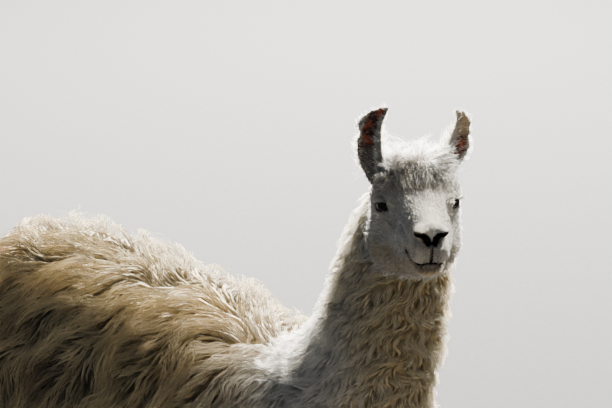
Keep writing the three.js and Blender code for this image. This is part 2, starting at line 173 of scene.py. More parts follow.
def relax(mesh, weight, rounds, swell=SWELL):
    """Evens the mesh out, as much as weight says at each vertex. The swell undoes the shrinking."""
    edges = np.empty(len(mesh.edges) * 2, int)
    mesh.edges.foreach_get("vertices", edges)
    a, b = edges.reshape(-1, 2).T
    count = len(mesh.vertices)
    degree = np.bincount(np.concatenate([a, b]), minlength=count)[:, None]
    points = read_points(mesh)
    for turn in range(2 * rounds):
        total = np.stack([
            np.bincount(a, points[b, k], count) + np.bincount(b, points[a, k], count) for k in range(3)
        ], axis=1)
        step = SHRINK if turn % 2 == 0 else swell
        points += weight[:, None] * step * (total / degree - points)
    write_points(mesh, points)


bpy.ops.object.select_all(action="DESELECT")
copies = [new_piece(name + "_flesh", nodes[name].data.copy()) for name in FLESH]
select_only(copies[0])
for copy in copies:
    copy.select_set(True)
bpy.ops.object.join()
hide = bpy.context.object
hide.name = hide.data.name = "hide"
hide.data.materials.clear()

# Plain swellings stop the eye sockets, nostrils and mouth, which are cut again below, finer.
HEAD_TURN = math.atan2(across.y, across.x)
MUZZLE_END = ((0, -122, -20), (34, 37, 34), 0)
LIP_HALF = ((17.5, -138, -33), (20, 24, 22), 0.3)
NOSTRIL_WING = ((18, -142, 7), (13.5, 17, 12), 0.4)
LOWER_LIP = ((0, -127, -70), (27, 26, 14), 0)
LIP_MIDDLE = ((0, -134, -36), (13, 20, 18), 0)
MOUTH_STOP = ((0, -116, -57), (36, 36, 14), 0)
EYE_STOP = ((EYE["x"], EYE["y"], EYE["z"]), (19, 19, 19), 0)
MUZZLE_SWELLINGS = (MUZZLE_END, LIP_HALF, LIP_MIDDLE, NOSTRIL_WING, LOWER_LIP)
for centre, half, turn in (*MUZZLE_SWELLINGS, MOUTH_STOP, EYE_STOP):
    for side in (-1, 1) if centre[0] else (1,):
        bpy.ops.mesh.primitive_uv_sphere_add(
            segments=32,
            ring_count=20,
            location=from_head((side * centre[0], centre[1], centre[2])),
            rotation=(0, 0, HEAD_TURN + side * turn),
            scale=[size * MM for size in half],
        )
        stop = bpy.context.object
        select_only(hide)
        stop.select_set(True)
        bpy.ops.object.join()
bpy.ops.object.mode_set(mode="EDIT")
bpy.ops.mesh.select_all(action="SELECT")
bpy.ops.mesh.remove_doubles(threshold=0.01 * MM)
bpy.ops.object.mode_set(mode="OBJECT")
write_points(hide.data, magnify(read_points(hide.data)))
remesh = hide.modifiers.new("Remesh", "REMESH")
remesh.mode = "VOXEL"
remesh.voxel_size = VOXEL
bpy.ops.object.modifier_apply(modifier=remesh.name)

# Small bubbles shut in the cuts between the solids are dropped.
bpy.ops.object.mode_set(mode="EDIT")
bpy.ops.mesh.select_all(action="DESELECT")
bpy.ops.object.mode_set(mode="OBJECT")
hide.data.vertices[int(read_points(hide.data)[:, 2].argmax())].select = True
bpy.ops.object.mode_set(mode="EDIT")
bpy.ops.mesh.select_linked()
bpy.ops.mesh.select_all(action="INVERT")
bpy.ops.mesh.delete(type="VERT")
bpy.ops.object.mode_set(mode="OBJECT")
write_points(hide.data, unmagnify(read_points(hide.data)))

# ---- the shape of the head, as smooth volumes: millimetres in the head's frame, negative inside


def ellipsoid(p, centre, half, turn=(0, 0, 0)):
    x, y, z = turn
    roll = np.array([[1, 0, 0], [0, math.cos(x), -math.sin(x)], [0, math.sin(x), math.cos(x)]])
    pitch = np.array([[math.cos(y), 0, math.sin(y)], [0, 1, 0], [-math.sin(y), 0, math.cos(y)]])
    yaw = np.array([[math.cos(z), -math.sin(z), 0], [math.sin(z), math.cos(z), 0], [0, 0, 1]])
    q = (p - np.array(centre, float)) @ (roll @ pitch @ yaw) / np.array(half, float)
    reach = np.linalg.norm(q, axis=1)
    return reach * (reach - 1) / np.maximum(np.linalg.norm(q / np.array(half, float), axis=1), 1e-9)


def chain(p, stations):
    """A chain of tapered round links through stations (x, y, z, radius)."""
    best = np.full(len(p), np.inf)
    for start, end in zip(stations[:-1], stations[1:]):
        a = np.array(start[:3], float)
        along = np.array(end[:3], float) - a
        t = np.clip((p - a) @ along / (along @ along), 0, 1)
        gap = np.linalg.norm(p - a - t[:, None] * along, axis=1)
        best = np.minimum(best, gap - start[3] - (end[3] - start[3]) * t)
    return best


def blend(reach, *fields):
    """The union of fields, filleted over about reach where they meet."""
    d = fields[0]
    for e in fields[1:]:
        h = np.maximum(reach - np.abs(d - e), 0) / reach
        d = np.minimum(d, e) - h * h * reach / 4
    return d


def mirrored(p):
    return np.abs(p) * (1, 0, 0) + p * (0, 1, 1)


def outwards(p):
    """What turns a way given for the left of the head into the same way on either side."""
    return np.stack([np.sign(p[:, 0]), np.ones(len(p)), np.ones(len(p))], axis=1)


def head_field(points):
    p = points
    m = mirrored(points)
    skull = blend(
        34,
        ellipsoid(p, (0, 48, 8), (70, 82, 57)),  # braincase
        ellipsoid(p, (0, -4, 14), (50, 46, 38)),  # forehead
        chain(m, [(56, 46, 18, 22), (61, -2, 28, 12), (33, -46, 16, 12)]),  # brow
        ellipsoid(m, (46, 12, 2), (27, 27, 24)),  # orbit
        chain(p, [(0, -20, 8, 38), (0, -85, 5, 28), (0, -132, 3, 21)]),  # bridge of the nose
        ellipsoid(m, (42, 44, -66), (47, 68, 74), (0.12, 0, 0)),  # cheek
        ellipsoid(m, (27, -56, -36), (29, 60, 40), (0, 0, -0.12)),  # side of the muzzle
        chain(p, [(0, 40, -94, 52), (0, -56, -82, 35), (0, -114, -72, 20)]),  # jaw
    )
    muzzle = blend(
        10,
        skull,
        *(ellipsoid(m, centre, half, (0, 0, turn)) for centre, half, turn in MUZZLE_SWELLINGS),
    )
    lips = blend(
        3,
        muzzle,
        # the upper rim of the mouth, and the lower one
        chain(m, [(5, -150, -48, 4), (16, -149, -49, 4), (29, -134, -47, 3.6), (38, -104, -41, 3)]),
        chain(m, [(0, -145, -60, 5), (15, -143, -60, 5), (30, -127, -56, 4.4), (40, -100, -49, 3)]),
    )
    lidded = ellipsoid(m, (EYE["x"], EYE["y"], EYE["z"]), [EYE["r"] + 5] * 3)
    return blend(10, lips, lidded)


LINE_TRIES = 251


def on_face(line, first=-185, last=-60):
    """The points of a line given by across and up, set on the front of the face."""
    back = np.linspace(first, last, LINE_TRIES)
    set_down = []
    for x, z in line:
        q = np.stack([np.full(LINE_TRIES, x), back, np.full(LINE_TRIES, z)], axis=1)
        set_down.append((x, back[np.argmax(head_field(q) + face_depth(q) < 0)], z))
    return set_down


# A painted shadow, under the overhang of the upper lip, runs on from each corner of the mouth and curves down
# over the jaw. It is only painted.
LIP_SHADOW = [(38, -100, -45), (36, -103.7, -51), (32.6, -105.6, -57), (29, -107, -63), (25.5, -112, -68)]

# The middle lines of the ears, from inside the skull up to their tips.
EARS = {
    "left": [(54, 74, 4), (65, 72, 38), (82, 70, 86), (92, 68, 124), (91, 66, 148), (79, 64, 166)],
    "right": [(-50, 72, 4), (-66, 70, 34), (-80, 68, 80), (-82, 66, 120), (-74, 62, 152), (-48, 58, 178)],
}


def ear_distance(p):
    return np.minimum(*(chain(p, [(*spot, 0) for spot in line]) for line in EARS.values()))


EAR_HALF = 26


def ear_place(p):
    """How far up its ear each point is, from 0 to 1, and across it, from -1 at the outer edge to 1."""
    up, over = np.zeros(len(p)), np.zeros(len(p))
    for line in EARS.values():
        line = np.array(line, float)
        sign = np.sign(line[2, 0])
        mine = np.nonzero(np.sign(p[:, 0]) == sign)[0]
        q, line = p[mine] * (sign, 1, 1), line * (sign, 1, 1)
        best = np.full(len(mine), np.inf)
        gone = 0.0
        whole = np.linalg.norm(np.diff(line, axis=0), axis=1).sum()
        for a, b in zip(line[:-1], line[1:]):
            length = np.linalg.norm(b - a)
            t = np.clip((q - a) @ (b - a) / length**2, 0, 1)
            off = q - a - t[:, None] * (b - a)
            near = np.linalg.norm(off, axis=1)
            height = (gone + t * length) / whole
            half = EAR_HALF * np.sin(math.pi * np.minimum(0.16 + 0.62 * height, 1) ** 0.9) ** 0.7
            half = half * (1 - 0.82 * height**7)
            inwards = unit(np.cross((0.5, -0.87, 0), b - a))
            closer = near < best
            best[closer] = near[closer]
            up[mine[closer]] = height[closer]
            over[mine[closer]] = (off @ inwards / half)[closer]
            gone += length
    return up, over


def on_head(points):
    """1 on the head, fading to 0 over the throat and the back of the poll."""
    p = to_head(points)
    ahead = -((p - (0, 74, -62)) @ (0, 0.9, -0.44))
    near = smoothstep(330, 250, np.linalg.norm(p, axis=1))
    return smoothstep(-34, 26, ahead) * smoothstep(-150, -112, p[:, 2]) * near


def on_ear(points):
    p = to_head(points)
    return smoothstep(44, 34, ear_distance(p)) * smoothstep(34, 60, p[:, 2])


def on_neck(points):
    """1 on the neck, fading to 0 where it meets the shoulders and the breast."""
    above = (points - (0, -0.46, 1.085)) @ (0, -0.42, 0.9)
    return smoothstep(-0.06, 0.05, above) * smoothstep(-0.22, -0.30, points[:, 1])


def on_tail(points):
    return smoothstep(0.665, 0.70, points[:, 1]) * smoothstep(0.12, 0.10, np.abs(points[:, 0]))


LEG_WOOL_TOP = 0.62
LEG_WOOL_END = 0.44


def on_leg(points):
    return smoothstep(LEG_WOOL_TOP, LEG_WOOL_END, points[:, 2])


TRUNK_COAT = 0.037
NECK_COAT = 0.017
TAIL_COAT = 0.020
LEG_COAT = 0.008
FOOT_THINNER = 0.004
HEAD_COAT = 0.004
EAR_COAT = 0.0012


def coat_depth(points):
    """How far the hide lies under the tips of the coat, in metres: nothing at the soles."""
    z = points[:, 2]
    depth = np.full(len(points), TRUNK_COAT)
    depth += (NECK_COAT - depth) * on_neck(points)
    depth += (TAIL_COAT - depth) * on_tail(points)
    depth += (LEG_COAT - FOOT_THINNER * smoothstep(0.2, 0.07, z) - depth) * on_leg(points)
    depth += (HEAD_COAT - depth) * on_head(points)
    depth += (EAR_COAT - depth) * on_ear(points)
    return depth * (1 - smoothstep(0.035, 0.012, z))


def face_depth(p):
    """The same on the face, in millimetres: the end of the muzzle is nearly bare."""
    return 1 + 1.2 * smoothstep(-125, -80, p[:, 1]) + 6 * smoothstep(20, 100, p[:, 1])


points = read_points(hide.data)
stiff = np.maximum(on_head(points), on_ear(points)) * 0.9
on_trunk = (1 - on_tail(points)) * (1 - stiff) * smoothstep(0.56, 0.66, points[:, 2])
relax(hide.data, on_trunk, 40, swell=SHRINK)
relax(hide.data, 1 - stiff, 12)
relax(hide.data, np.full(len(points), 0.9), 3)
points = read_points(hide.data)
write_points(hide.data, points - coat_depth(points)[:, None] * read_normals(hide.data))
relax(hide.data, 1 - stiff, 10)


def select_points(chosen):
    """Leaves the hide in edit mode with just these vertices selected."""
    bpy.ops.object.mode_set(mode="EDIT")
    bpy.ops.mesh.select_mode(type="VERT")
    bpy.ops.mesh.select_all(action="DESELECT")
    bpy.ops.object.mode_set(mode="OBJECT")
    hide.data.vertices.foreach_set("select", chosen)
    bpy.ops.object.mode_set(mode="EDIT")


points = read_points(hide.data)
select_points((on_head(points) < 0.01) & (on_ear(points) < 0.01))
bpy.ops.mesh.decimate(ratio=BODY_SHARE)
bpy.ops.object.mode_set(mode="OBJECT")

# The eyes, nostrils and lips get smaller faces, and their edges smaller ones still.
NOSTRIL = on_face([(5.5, -13), (8.5, -7), (13, -1), (18, 3), (24, 5.5), (29, 5)])
NOSTRIL_PIT = on_face([(10, -5), (15, 0.5)])
CLEFT = on_face([(0, -14), (0, -25), (0, -36), (0, -45), (0, -53)])
MOUTH = on_face([(0, -54), (8, -55), (16, -56)])
MOUTH += [(25, -137, -56), (32, -129, -54.5), (34.5, -121, -52)]
MOUTH += [(36, -113, -49), (38, -105, -45.5), (41, -98, -42)]
BROW = [on_face(line, -90, 70) for line in (
    [(40, 22), (50, 27), (60, 26), (67, 20)], [(42, 31), (52, 36), (61, 33)], [(38, 15), (43, 12), (45, 6)]
)]
CHEEK_HOLLOW = on_face([(50, -30), (44, -44), (41, -58)], -110, 40)
TEAR_LINE = on_face([(45, -6), (39, -18), (34, -32)], -150, 40)
EYE_FRONT = on_face([(55, -12), (53, 2), (51, 14)], -120, 30)
ZONES = [((EYE["x"] + 8, -8, 3), 31), ((16, -152, 2), 22), ((14, -148, -48), 26), ((34, -118, -49), 22)]


def line_distance(p, line):
    return chain(mirrored(p), [(*spot, 0) for spot in line])


def fine_zone(p):
    return np.any([gap(mirrored(p), spot) < reach for spot, reach in ZONES], axis=0)


def finest_zone(p):
    eye = gap(mirrored(p), (EYE["x"] + 6, -5, 3)) < 21
    near = [line_distance(p, line) < reach for line, reach in ((NOSTRIL, 9), (CLEFT, 5), (MOUTH, 7))]
    return eye | np.any(near, axis=0)


for zone in (fine_zone, finest_zone):
    select_points(zone(to_head(read_points(hide.data))))
    bpy.ops.mesh.subdivide(number_cuts=1)
    bpy.ops.object.mode_set(mode="OBJECT")

# The face is drawn on to its true shape, along the slope of the field.
points = read_points(hide.data)
p = to_head(points)
hold = on_head(points) * smoothstep(30, 44, ear_distance(p)) ** 0.5
face = np.nonzero(hold > 0.01)[0]
q = p[face]
pull = hold[face][:, None]
for _ in range(5):
    here = head_field(q) + face_depth(q)
    slope = np.stack([head_field(q + 0.5 * axis) - head_field(q - 0.5 * axis) for axis in np.eye(3)], axis=1)
    step = here[:, None] * slope / np.maximum((slope**2).sum(1, keepdims=True), 0.15)
    length = np.linalg.norm(step, axis=1, keepdims=True)
    q = q - pull * step * np.minimum(1, 6 / np.maximum(length, 1e-9))
p[face] = q
write_points(hide.data, from_head(p))
weight = np.zeros(len(p))
weight[face] = 0.6
relax(hide.data, weight, 1)

# Grooves and folds are pressed into the face along lines: how deep, how wide, and which way.
p = to_head(read_points(hide.data))


def press(line, depth, width, way, flat=0.0):
    """Pushes the skin along a line by depth, over width to each side of it, with a flat floor if asked."""
    near = np.clip((line_distance(p, line) - flat) / width, 0, 1)
    amount = depth * (1 - near * near * (3 - 2 * near))
    p[:] += amount[:, None] * unit(np.array(way, float)) * outwards(p)


press(CHEEK_HOLLOW, 3.5, 17, (-0.8, 0.5, 0))
press(TEAR_LINE, 3, 10, (-0.8, 0.5, 0))
press(EYE_FRONT, 8, 21, (-0.85, 0.4, 0), flat=3)
for fold in BROW:
    press(fold, 1.3, 3.4, (-0.4, 0.7, -0.5))
press(NOSTRIL[2:], 2, 8, (0.6, -0.6, 0.5), flat=4)
press(NOSTRIL, 6, 3.2, (-0.2, 1, 0), flat=0.6)
press(NOSTRIL[:4], 14, 3.8, (-0.3, 1, 0), flat=3.4)
press(NOSTRIL_PIT, 9, 4, (-0.3, 1, 0), flat=5)
press(CLEFT, 7.5, 3.2, (0, 1, 0))
press(MOUTH, 6, 2.8, (-0.5, 0.8, 0.1), flat=0.6)
write_points(hide.data, from_head(p))
relax(hide.data, 0.7 * smoothstep(7, 4, line_distance(p, MOUTH)), 3, swell=0.1)
p = to_head(read_points(hide.data))

# Each ear has an old notch bitten into its outer edge and is ragged above it. The edge swells into a lobe,
# below the notch on the left ear and above it on the right one. Heights go up the ear from 0 to 1.
NOTCH, NOTCH_REACH = 6.5, 0.022
LOBE, LOBE_REACH = 5.5, 0.09
RAGGED, RAGGED_WAVES = 1.6, 190
up, over = ear_place(p)
edge = on_ear(from_head(p)) * smoothstep(-0.35, -0.95, over)
for side, notch, lobe in ((1, 0.66, 0.50), (-1, 0.62, 0.75)):
    mine = np.sign(p[:, 0]) == side
    bite = NOTCH * np.exp(-(((up - notch) / NOTCH_REACH) ** 2))
    bite -= LOBE * np.exp(-(((up - lobe) / LOBE_REACH) ** 2))
    bite += RAGGED * smoothstep(notch, notch + 0.05, up) * np.sin(up * RAGGED_WAVES)
    p[:, 0] -= side * bite * edge * mine * 0.87
    p[:, 1] -= bite * edge * mine * 0.5
write_points(hide.data, from_head(p))

# The lids close round each eyeball in an almond, a fold above it and a pouch below.
EYE_AXIS = unit(np.array((0.68, -0.73, 0.06)))
EYE_FORWARDS = unit(np.cross((0, 0, 1), EYE_AXIS))
EYE_FORWARDS *= -np.sign(EYE_FORWARDS[1])
EYE_UPWARDS = np.cross(EYE_AXIS, EYE_FORWARDS)
EYE_UPWARDS *= np.sign(EYE_UPWARDS[2])
HALF_OPEN = 1.15  # angles seen from the middle of the eyeball
LID_TILT = 0.16
LID_LIFT = 0.10
LID = 2.0


def eye_angles(p, side):
    """Angles forwards and upwards round an eyeball, and the distance from its middle."""
    away = (p - (side * EYE["x"], EYE["y"], EYE["z"])) * (side, 1, 1)
    reach = np.linalg.norm(away, axis=1)
    ahead = np.arctan2(away @ EYE_FORWARDS, away @ EYE_AXIS)
    rise = np.arcsin(np.clip(away @ EYE_UPWARDS / np.maximum(reach, 1e-6), -1, 1))
    return ahead, rise, reach, away


def lid_span(ahead):
    return np.clip(1 - (ahead / HALF_OPEN) ** 2, 0, 1)


def upper_lid(ahead):
    return 0.42 * lid_span(ahead) ** 0.75


def past_lid(ahead, rise):
    """How far outside the opening a direction lies, as an angle, and how far above the eye's level."""
    rise = rise - LID_TILT * ahead - LID_LIFT
    lower = -0.34 * lid_span(ahead) ** 0.85
    outside = np.maximum(rise - upper_lid(ahead), lower - rise)
    corner = np.hypot(np.maximum(np.abs(ahead) - HALF_OPEN, 0), rise)
    return np.where(np.abs(ahead) < HALF_OPEN, outside, np.maximum(corner, outside)), rise


for side in (-1, 1):
    ahead, rise, reach, away = eye_angles(p, side)
    outside, height = past_lid(ahead, rise)
    lid = EYE["r"] + np.clip(outside * EYE["r"] * 1.6, -3.5, LID)
    above = smoothstep(-0.1, 0.3, height)
    fold = 1.3 * np.exp(-(((outside - 0.2) / 0.1) ** 2)) - 1.6 * np.exp(-(((outside - 0.38) / 0.06) ** 2))
    lid += above * fold
    lid += (1 - above) * 0.9 * np.exp(-(((outside - 0.25) / 0.12) ** 2))
    grip = smoothstep(0.62, 0.3, outside) * (reach < 32)
    target = reach + (lid - reach) * grip
    p += (away * (side, 1, 1)) * ((target - reach) / np.maximum(reach, 1e-6))[:, None]
    write_points(hide.data, from_head(p))
    around = smoothstep(0.4, 0.5, outside) * smoothstep(1.4, 1.0, outside) * (reach < 38)
    relax(hide.data, 0.9 * around, 5, swell=0.1)
    p = to_head(read_points(hide.data))

bpy.ops.object.mode_set(mode="EDIT")
bpy.ops.mesh.select_all(action="SELECT")
bpy.ops.mesh.normals_make_consistent(inside=False)
bpy.ops.object.mode_set(mode="OBJECT")
select_only(hide)
bpy.ops.object.shade_smooth()

# ---- what grows where on the hide: markings and bare skin, painted by the places below
RUST_SPOT = (-0.10, 0.60, 1.19)
BROWN_SPOTS = [(-0.205, 0.175, 1.085), (-0.220, 0.195, 1.050), (-0.15, 0.30, 1.14)]
TAN_SPOT = (0.03, -0.13, 1.18)
WHITE_SPOT = (-0.11, -0.40, 1.17)


def ripple(points, size, seed):
    """Soft random waves from 0 to 1, about size metres apart."""
    waves = np.random.default_rng(seed)
    total = np.zeros(len(points))
    for _ in range(7):
        way = unit(waves.normal(size=3)) * waves.uniform(0.7, 1.5) * math.tau / size
        total += np.sin(points @ way + waves.uniform(0, math.tau))
    return 0.5 + total / 7


def markings(points, normals):
    """Tan, rust and brown in the wool, and its whiteness, for a root at each point. Part of the brown is
    painted shade, on the flanks and below the upper lip, and part of the tan is painted warm light under the
    jaw.
    """
    z = points[:, 2]
    neck = on_neck(points) * (1 - on_head(points))
    front = normals @ unit(np.array((0.45, -0.9, 0)))
    tan = neck * smoothstep(-1.0, 0.5, front) * smoothstep(1.64, 1.48, z)
    tan += 0.55 * smoothstep(0.30, 0.05, gap(points, TAN_SPOT)) * ripple(points, 0.08, 3)
    tan += 0.42 * ripple(points, 0.16, 4) * (1 - neck)
    rust = smoothstep(0.15, 0.07, gap(points, RUST_SPOT) + 0.05 * ripple(points, 0.07, 5))
    brown = 0.6 * sum(smoothstep(0.045, 0.015, gap(points, spot)) for spot in BROWN_SPOTS)
    # Painted shade: where the trunk faces sideways rather than up, its wool is darkened about a quarter of
    # the way to brown.
    flank_shade = smoothstep(0.8, 0.3, normals[:, 2]) * smoothstep(-0.30, -0.05, points[:, 1])
    brown += 0.26 * (flank_shade * (1 - on_leg(points)))
    white = np.maximum(on_head(points), on_ear(points)) + smoothstep(0.5, 0.3, z)
    white += 0.3 * neck * smoothstep(0.1, -0.6, front) + 0.45 * smoothstep(0.0, 0.5, on_head(points))
    white += 0.8 * smoothstep(0.26, 0.08, gap(points, WHITE_SPOT))
    p = to_head(points)
    ear_up, _ = ear_place(p)
    tan += 0.9 * on_ear(points) * (p[:, 0] > 0) * smoothstep(0.58, 0.70, ear_up)
    # Yellowish hair under the jaw and chin, with painted warm light thrown up on it from the ground below.
    tan += on_head(points) * smoothstep(-58, -80, p[:, 2])
    tan += 0.7 * on_head(points) * smoothstep(6.5, 3, line_distance(p - (0, 0, 4), MOUTH))
    # Painted shadow under the upper lip, in brown, along the line from each corner of the mouth.
    brown += 0.7 * on_head(points) * smoothstep(5.0, 2.0, line_distance(p, LIP_SHADOW))
    under_lip = gap(mirrored(p), (8, -134, -64), (27, 28, 11)) + 0.5 * (ripple(points, 0.009, 72) - 0.5)
    brown += 0.62 * on_head(points) * smoothstep(1.35, 0.2, under_lip)
    return np.clip(np.stack([tan, rust, brown, white], axis=1), 0, 1)


def ear_bowl(points, normals):
    """1 inside the bowl of each ear, right to its edges."""
    facing = unit(np.array((0.35, -1, 0.1))) * outwards(to_head(points))
    return smoothstep(0.0, 0.35, ((normals @ head_axes.T) * facing).sum(axis=1)) * on_ear(points)


def ear_lining(points, normals):
    """How dark and bare the bowl of each ear is: most between its middle and its outer edge."""
    p = to_head(points)
    left_ear = p[:, 0] > 0
    up, over = ear_place(p)
    over = over + 0.5 * (ripple(points, 0.022, 61) - 0.5) + 0.2 * left_ear
    across = smoothstep(-1.0, -0.75, over) * smoothstep(0.62, 0.2, over)
    across *= 1 - 0.8 * left_ear * smoothstep(0.62, 0.70, up)
    return ear_bowl(points, normals) * across * smoothstep(0.16, 0.30, up) * smoothstep(0.985, 0.93, up)


DEPTH_COUNTS = 0.25
PRESSED_IN = 8


def from_front(p, line):
    """How far points lie from a line pressed into the face, seen from the front: depth hardly counts."""
    pressed = [(x, DEPTH_COUNTS * (y + PRESSED_IN), z) for x, y, z in line]
    return line_distance(p * (1, DEPTH_COUNTS, 1), pressed)


def bare_skin(points):
    """1 where the skin is dark and bare: the nostrils, the lips' edges and the rims of the eyes. Round the
    nostrils and the cleft it is up to half that, for thinner hair and painted shade on the front of the
    muzzle.
    """
    p = to_head(points)
    m = mirrored(p)
    ragged = 0.35 * (ripple(points, 0.011, 71) - 0.5)
    nose = smoothstep(7.5, 4.5, from_front(p, NOSTRIL)) * (p[:, 1] < -100)
    lips = smoothstep(5, 2.5, line_distance(p, MOUTH))
    lips = np.maximum(lips, smoothstep(4.5, 2.2, line_distance(p, CLEFT)))
    chin = 0.15 * smoothstep(1.3, 0.7, gap(m, (0, -138, -60), (28, 26, 7)) + ragged)
    side_lip = 0.3 * smoothstep(1.25, 0.5, gap(m, (34, -114, -54), (14, 27, 8.5)) + ragged)
    # Thinner hair and painted shade: grey on the front of the muzzle round the nostrils and the cleft, below
    # the nose.
    thin_hair_and_shade = 0.5 * smoothstep(28, 8, np.minimum(line_distance(p, NOSTRIL), line_distance(p, CLEFT)))
    thin_hair_and_shade *= smoothstep(8, -10, p[:, 2])
    rims = np.zeros(len(points))
    for side in (-1, 1):
        ahead, rise, reach, _ = eye_angles(p, side)
        outside, _ = past_lid(ahead - 0.25 * smoothstep(0.6, 1.3, ahead), rise)
        rims = np.maximum(rims, smoothstep(0.30, 0.14, outside) * (reach < 28))
    return np.clip(np.maximum.reduce([nose, lips, chin, side_lip, thin_hair_and_shade, rims]), 0, 1)


def pit_shade(points):
    """Painted shade: 1 deep in the nostrils, the cleft and the mouth, where no light falls."""
    p = to_head(points)
    return np.maximum.reduce([
        smoothstep(4.2, 2.6, from_front(p, NOSTRIL)),
        smoothstep(6.6, 4.6, from_front(p, NOSTRIL[:4])),
        smoothstep(9.0, 6.5, line_distance(p, NOSTRIL_PIT)),
        smoothstep(3.4, 1.6, line_distance(p, MOUTH)),
        smoothstep(2.2, 1.0, line_distance(p, CLEFT)),
    ])


def paint(mesh, name, values):
    """Stores a colour for each vertex, under a name that the materials read."""
    layer = mesh.color_attributes.new(name, "FLOAT_COLOR", "POINT")
    rgba = np.ones((len(values), 4))
    rgba[:, : values.shape[1]] = values
    layer.data.foreach_set("color", rgba.ravel())


def store(mesh, name, values):
    """Stores a number for each vertex in the same way."""
    mesh.attributes.new(name, "FLOAT", "POINT").data.foreach_set("value", values)


points = read_points(hide.data)
normals = read_normals(hide.data)
paint(hide.data, "marks", markings(points, normals))
bare = bare_skin(points)
lining = ear_lining(points, normals)
hairy = np.maximum(on_head(points), on_ear(points)) + smoothstep(0.36, 0.26, points[:, 2])
ear_up, ear_over = ear_place(to_head(points))
low_rust = 0.12 * (to_head(points)[:, 0] > 0)  # on the left ear the rust begins lower
rusty = smoothstep(0.44 - low_rust, 0.54 - low_rust, ear_up)
rusty *= smoothstep(0.85, 0.3, np.abs(ear_over + 0.25 + low_rust))
store(hide.data, "rust", rusty)
# The skin's fourth channel is painted shade deep in the nostrils, the cleft and the mouth.
paint(hide.data, "skin", np.stack([bare, lining, np.clip(hairy, 0, 1), pit_shade(points)], axis=1))


def new_material(name, roughness):
    material = bpy.data.materials.new(name)
    material.use_nodes = True
    shader = material.node_tree.nodes["Principled BSDF"]
    shader.inputs["Roughness"].default_value = roughness
    return material, material.node_tree, shader


def add_node(tree, kind, **settings):
    """A shader node, with its properties and inputs set by name, and inputs by number as _0, _1 and so on.
    A value that comes from another node is given as its socket."""
    node = tree.nodes.new(kind)
    for key, value in settings.items():
        if hasattr(node, key):
            setattr(node, key, value)
            continue
        socket = node.inputs[int(key[1:])] if key[0] == "_" else node.inputs[key]
        if isinstance(value, bpy.types.NodeSocket):
            tree.links.new(value, socket)
        else:
            socket.default_value = value
    return node


def mix_colours(tree, factor, first, second):
    return add_node(tree, "ShaderNodeMix", data_type="RGBA", _0=factor, _6=first, _7=second).outputs[2]


def maths(tree, operation, *values):
    inputs = {f"_{index}": value for index, value in enumerate(values)}
    return add_node(tree, "ShaderNodeMath", operation=operation, **inputs).outputs[0]


def ramp(tree, value, low, high, kind="LINEAR"):
    """0 below low, 1 above high."""
    return add_node(
        tree, "ShaderNodeMapRange", interpolation_type=kind, Value=value, _1=low, _2=high
    ).outputs[0]


def attribute(tree, name):
    return add_node(tree, "ShaderNodeAttribute", attribute_name=name).outputs


# The colour of wool, shared by the hide and every lock: grey-brown at the root, darkened there as painted
# shade between the locks, and cream or white along the shaft, with the markings that its root was painted
# with, of which the tan is strongest at the tip.
ROOT_AND_SHADE = (0.150, 0.122, 0.078, 1)
CREAM = (0.73, 0.61, 0.37, 1)
WHITE = (0.94, 0.915, 0.855, 1)
TAN = (0.56, 0.38, 0.155, 1)
RUST = (0.55, 0.19, 0.05, 1)
BROWN = (0.075, 0.042, 0.026, 1)

wool = bpy.data.node_groups.new("Wool colour", "ShaderNodeTree")
for name, way, kind in (
    ("Along", "INPUT", "Float"), ("Shade", "INPUT", "Float"), ("Marks", "INPUT", "Color"),
    ("White", "INPUT", "Float"), ("Color", "OUTPUT", "Color"),
):
    wool.interface.new_socket(name, in_out=way, socket_type="NodeSocket" + kind)
given = wool.nodes.new("NodeGroupInput").outputs
result = wool.nodes.new("NodeGroupOutput").inputs
marks = add_node(wool, "ShaderNodeSeparateColor", Color=given["Marks"]).outputs
body = mix_colours(wool, given["White"], CREAM, WHITE)
shaft = ramp(wool, given["Along"], 0, 0.62, "SMOOTHSTEP")
# Painted shade: each strand darkens towards its root, less in white hair, so the gaps between locks look
# deep.
root_and_shade = maths(wool, "MULTIPLY", maths(wool, "SUBTRACT", 1.0, shaft), 0.85)
root_and_shade = maths(wool, "MULTIPLY", root_and_shade, maths(wool, "MULTIPLY_ADD", given["White"], -0.7, 1.0))
colour = mix_colours(wool, root_and_shade, body, ROOT_AND_SHADE)
tipped = maths(wool, "MULTIPLY_ADD", ramp(wool, given["Along"], 0.35, 1, "SMOOTHSTEP"), 0.65, 0.35)
colour = mix_colours(wool, maths(wool, "MULTIPLY", marks[0], tipped), colour, TAN)
colour = mix_colours(wool, marks[1], colour, RUST)
colour = mix_colours(wool, marks[2], colour, BROWN)
tone = maths(wool, "MULTIPLY_ADD", given["Shade"], 0.7, 0.58)
toned = add_node(wool, "ShaderNodeVectorMath", operation="SCALE", _0=colour, Scale=tone)
wool.links.new(toned.outputs[0], result["Color"])

# The hide itself: matted underwool below the fleece, in the dark root colour of the wool as painted shade
# between the locks, short flat hair on the face and shins, a rusty lining in the ears, dark bare skin on the
# nose, lips and eyelids, and painted shade deep in the nostrils, the cleft and the mouth.
FACE_HAIR = (0.60, 0.59, 0.565, 1)
FACE_HAIR_SHADE = (0.25, 0.24, 0.225, 1)
BARE = (0.010, 0.009, 0.009, 1)
BARE_WORN = (0.050, 0.034, 0.024, 1)
PIT_SHADE = (0.0015, 0.001, 0.001, 1)
LINING = (0.055, 0.022, 0.016, 1)
LINING_RUST = (0.26, 0.075, 0.045, 1)
LINING_LOW = (0.17, 0.135, 0.11, 1)

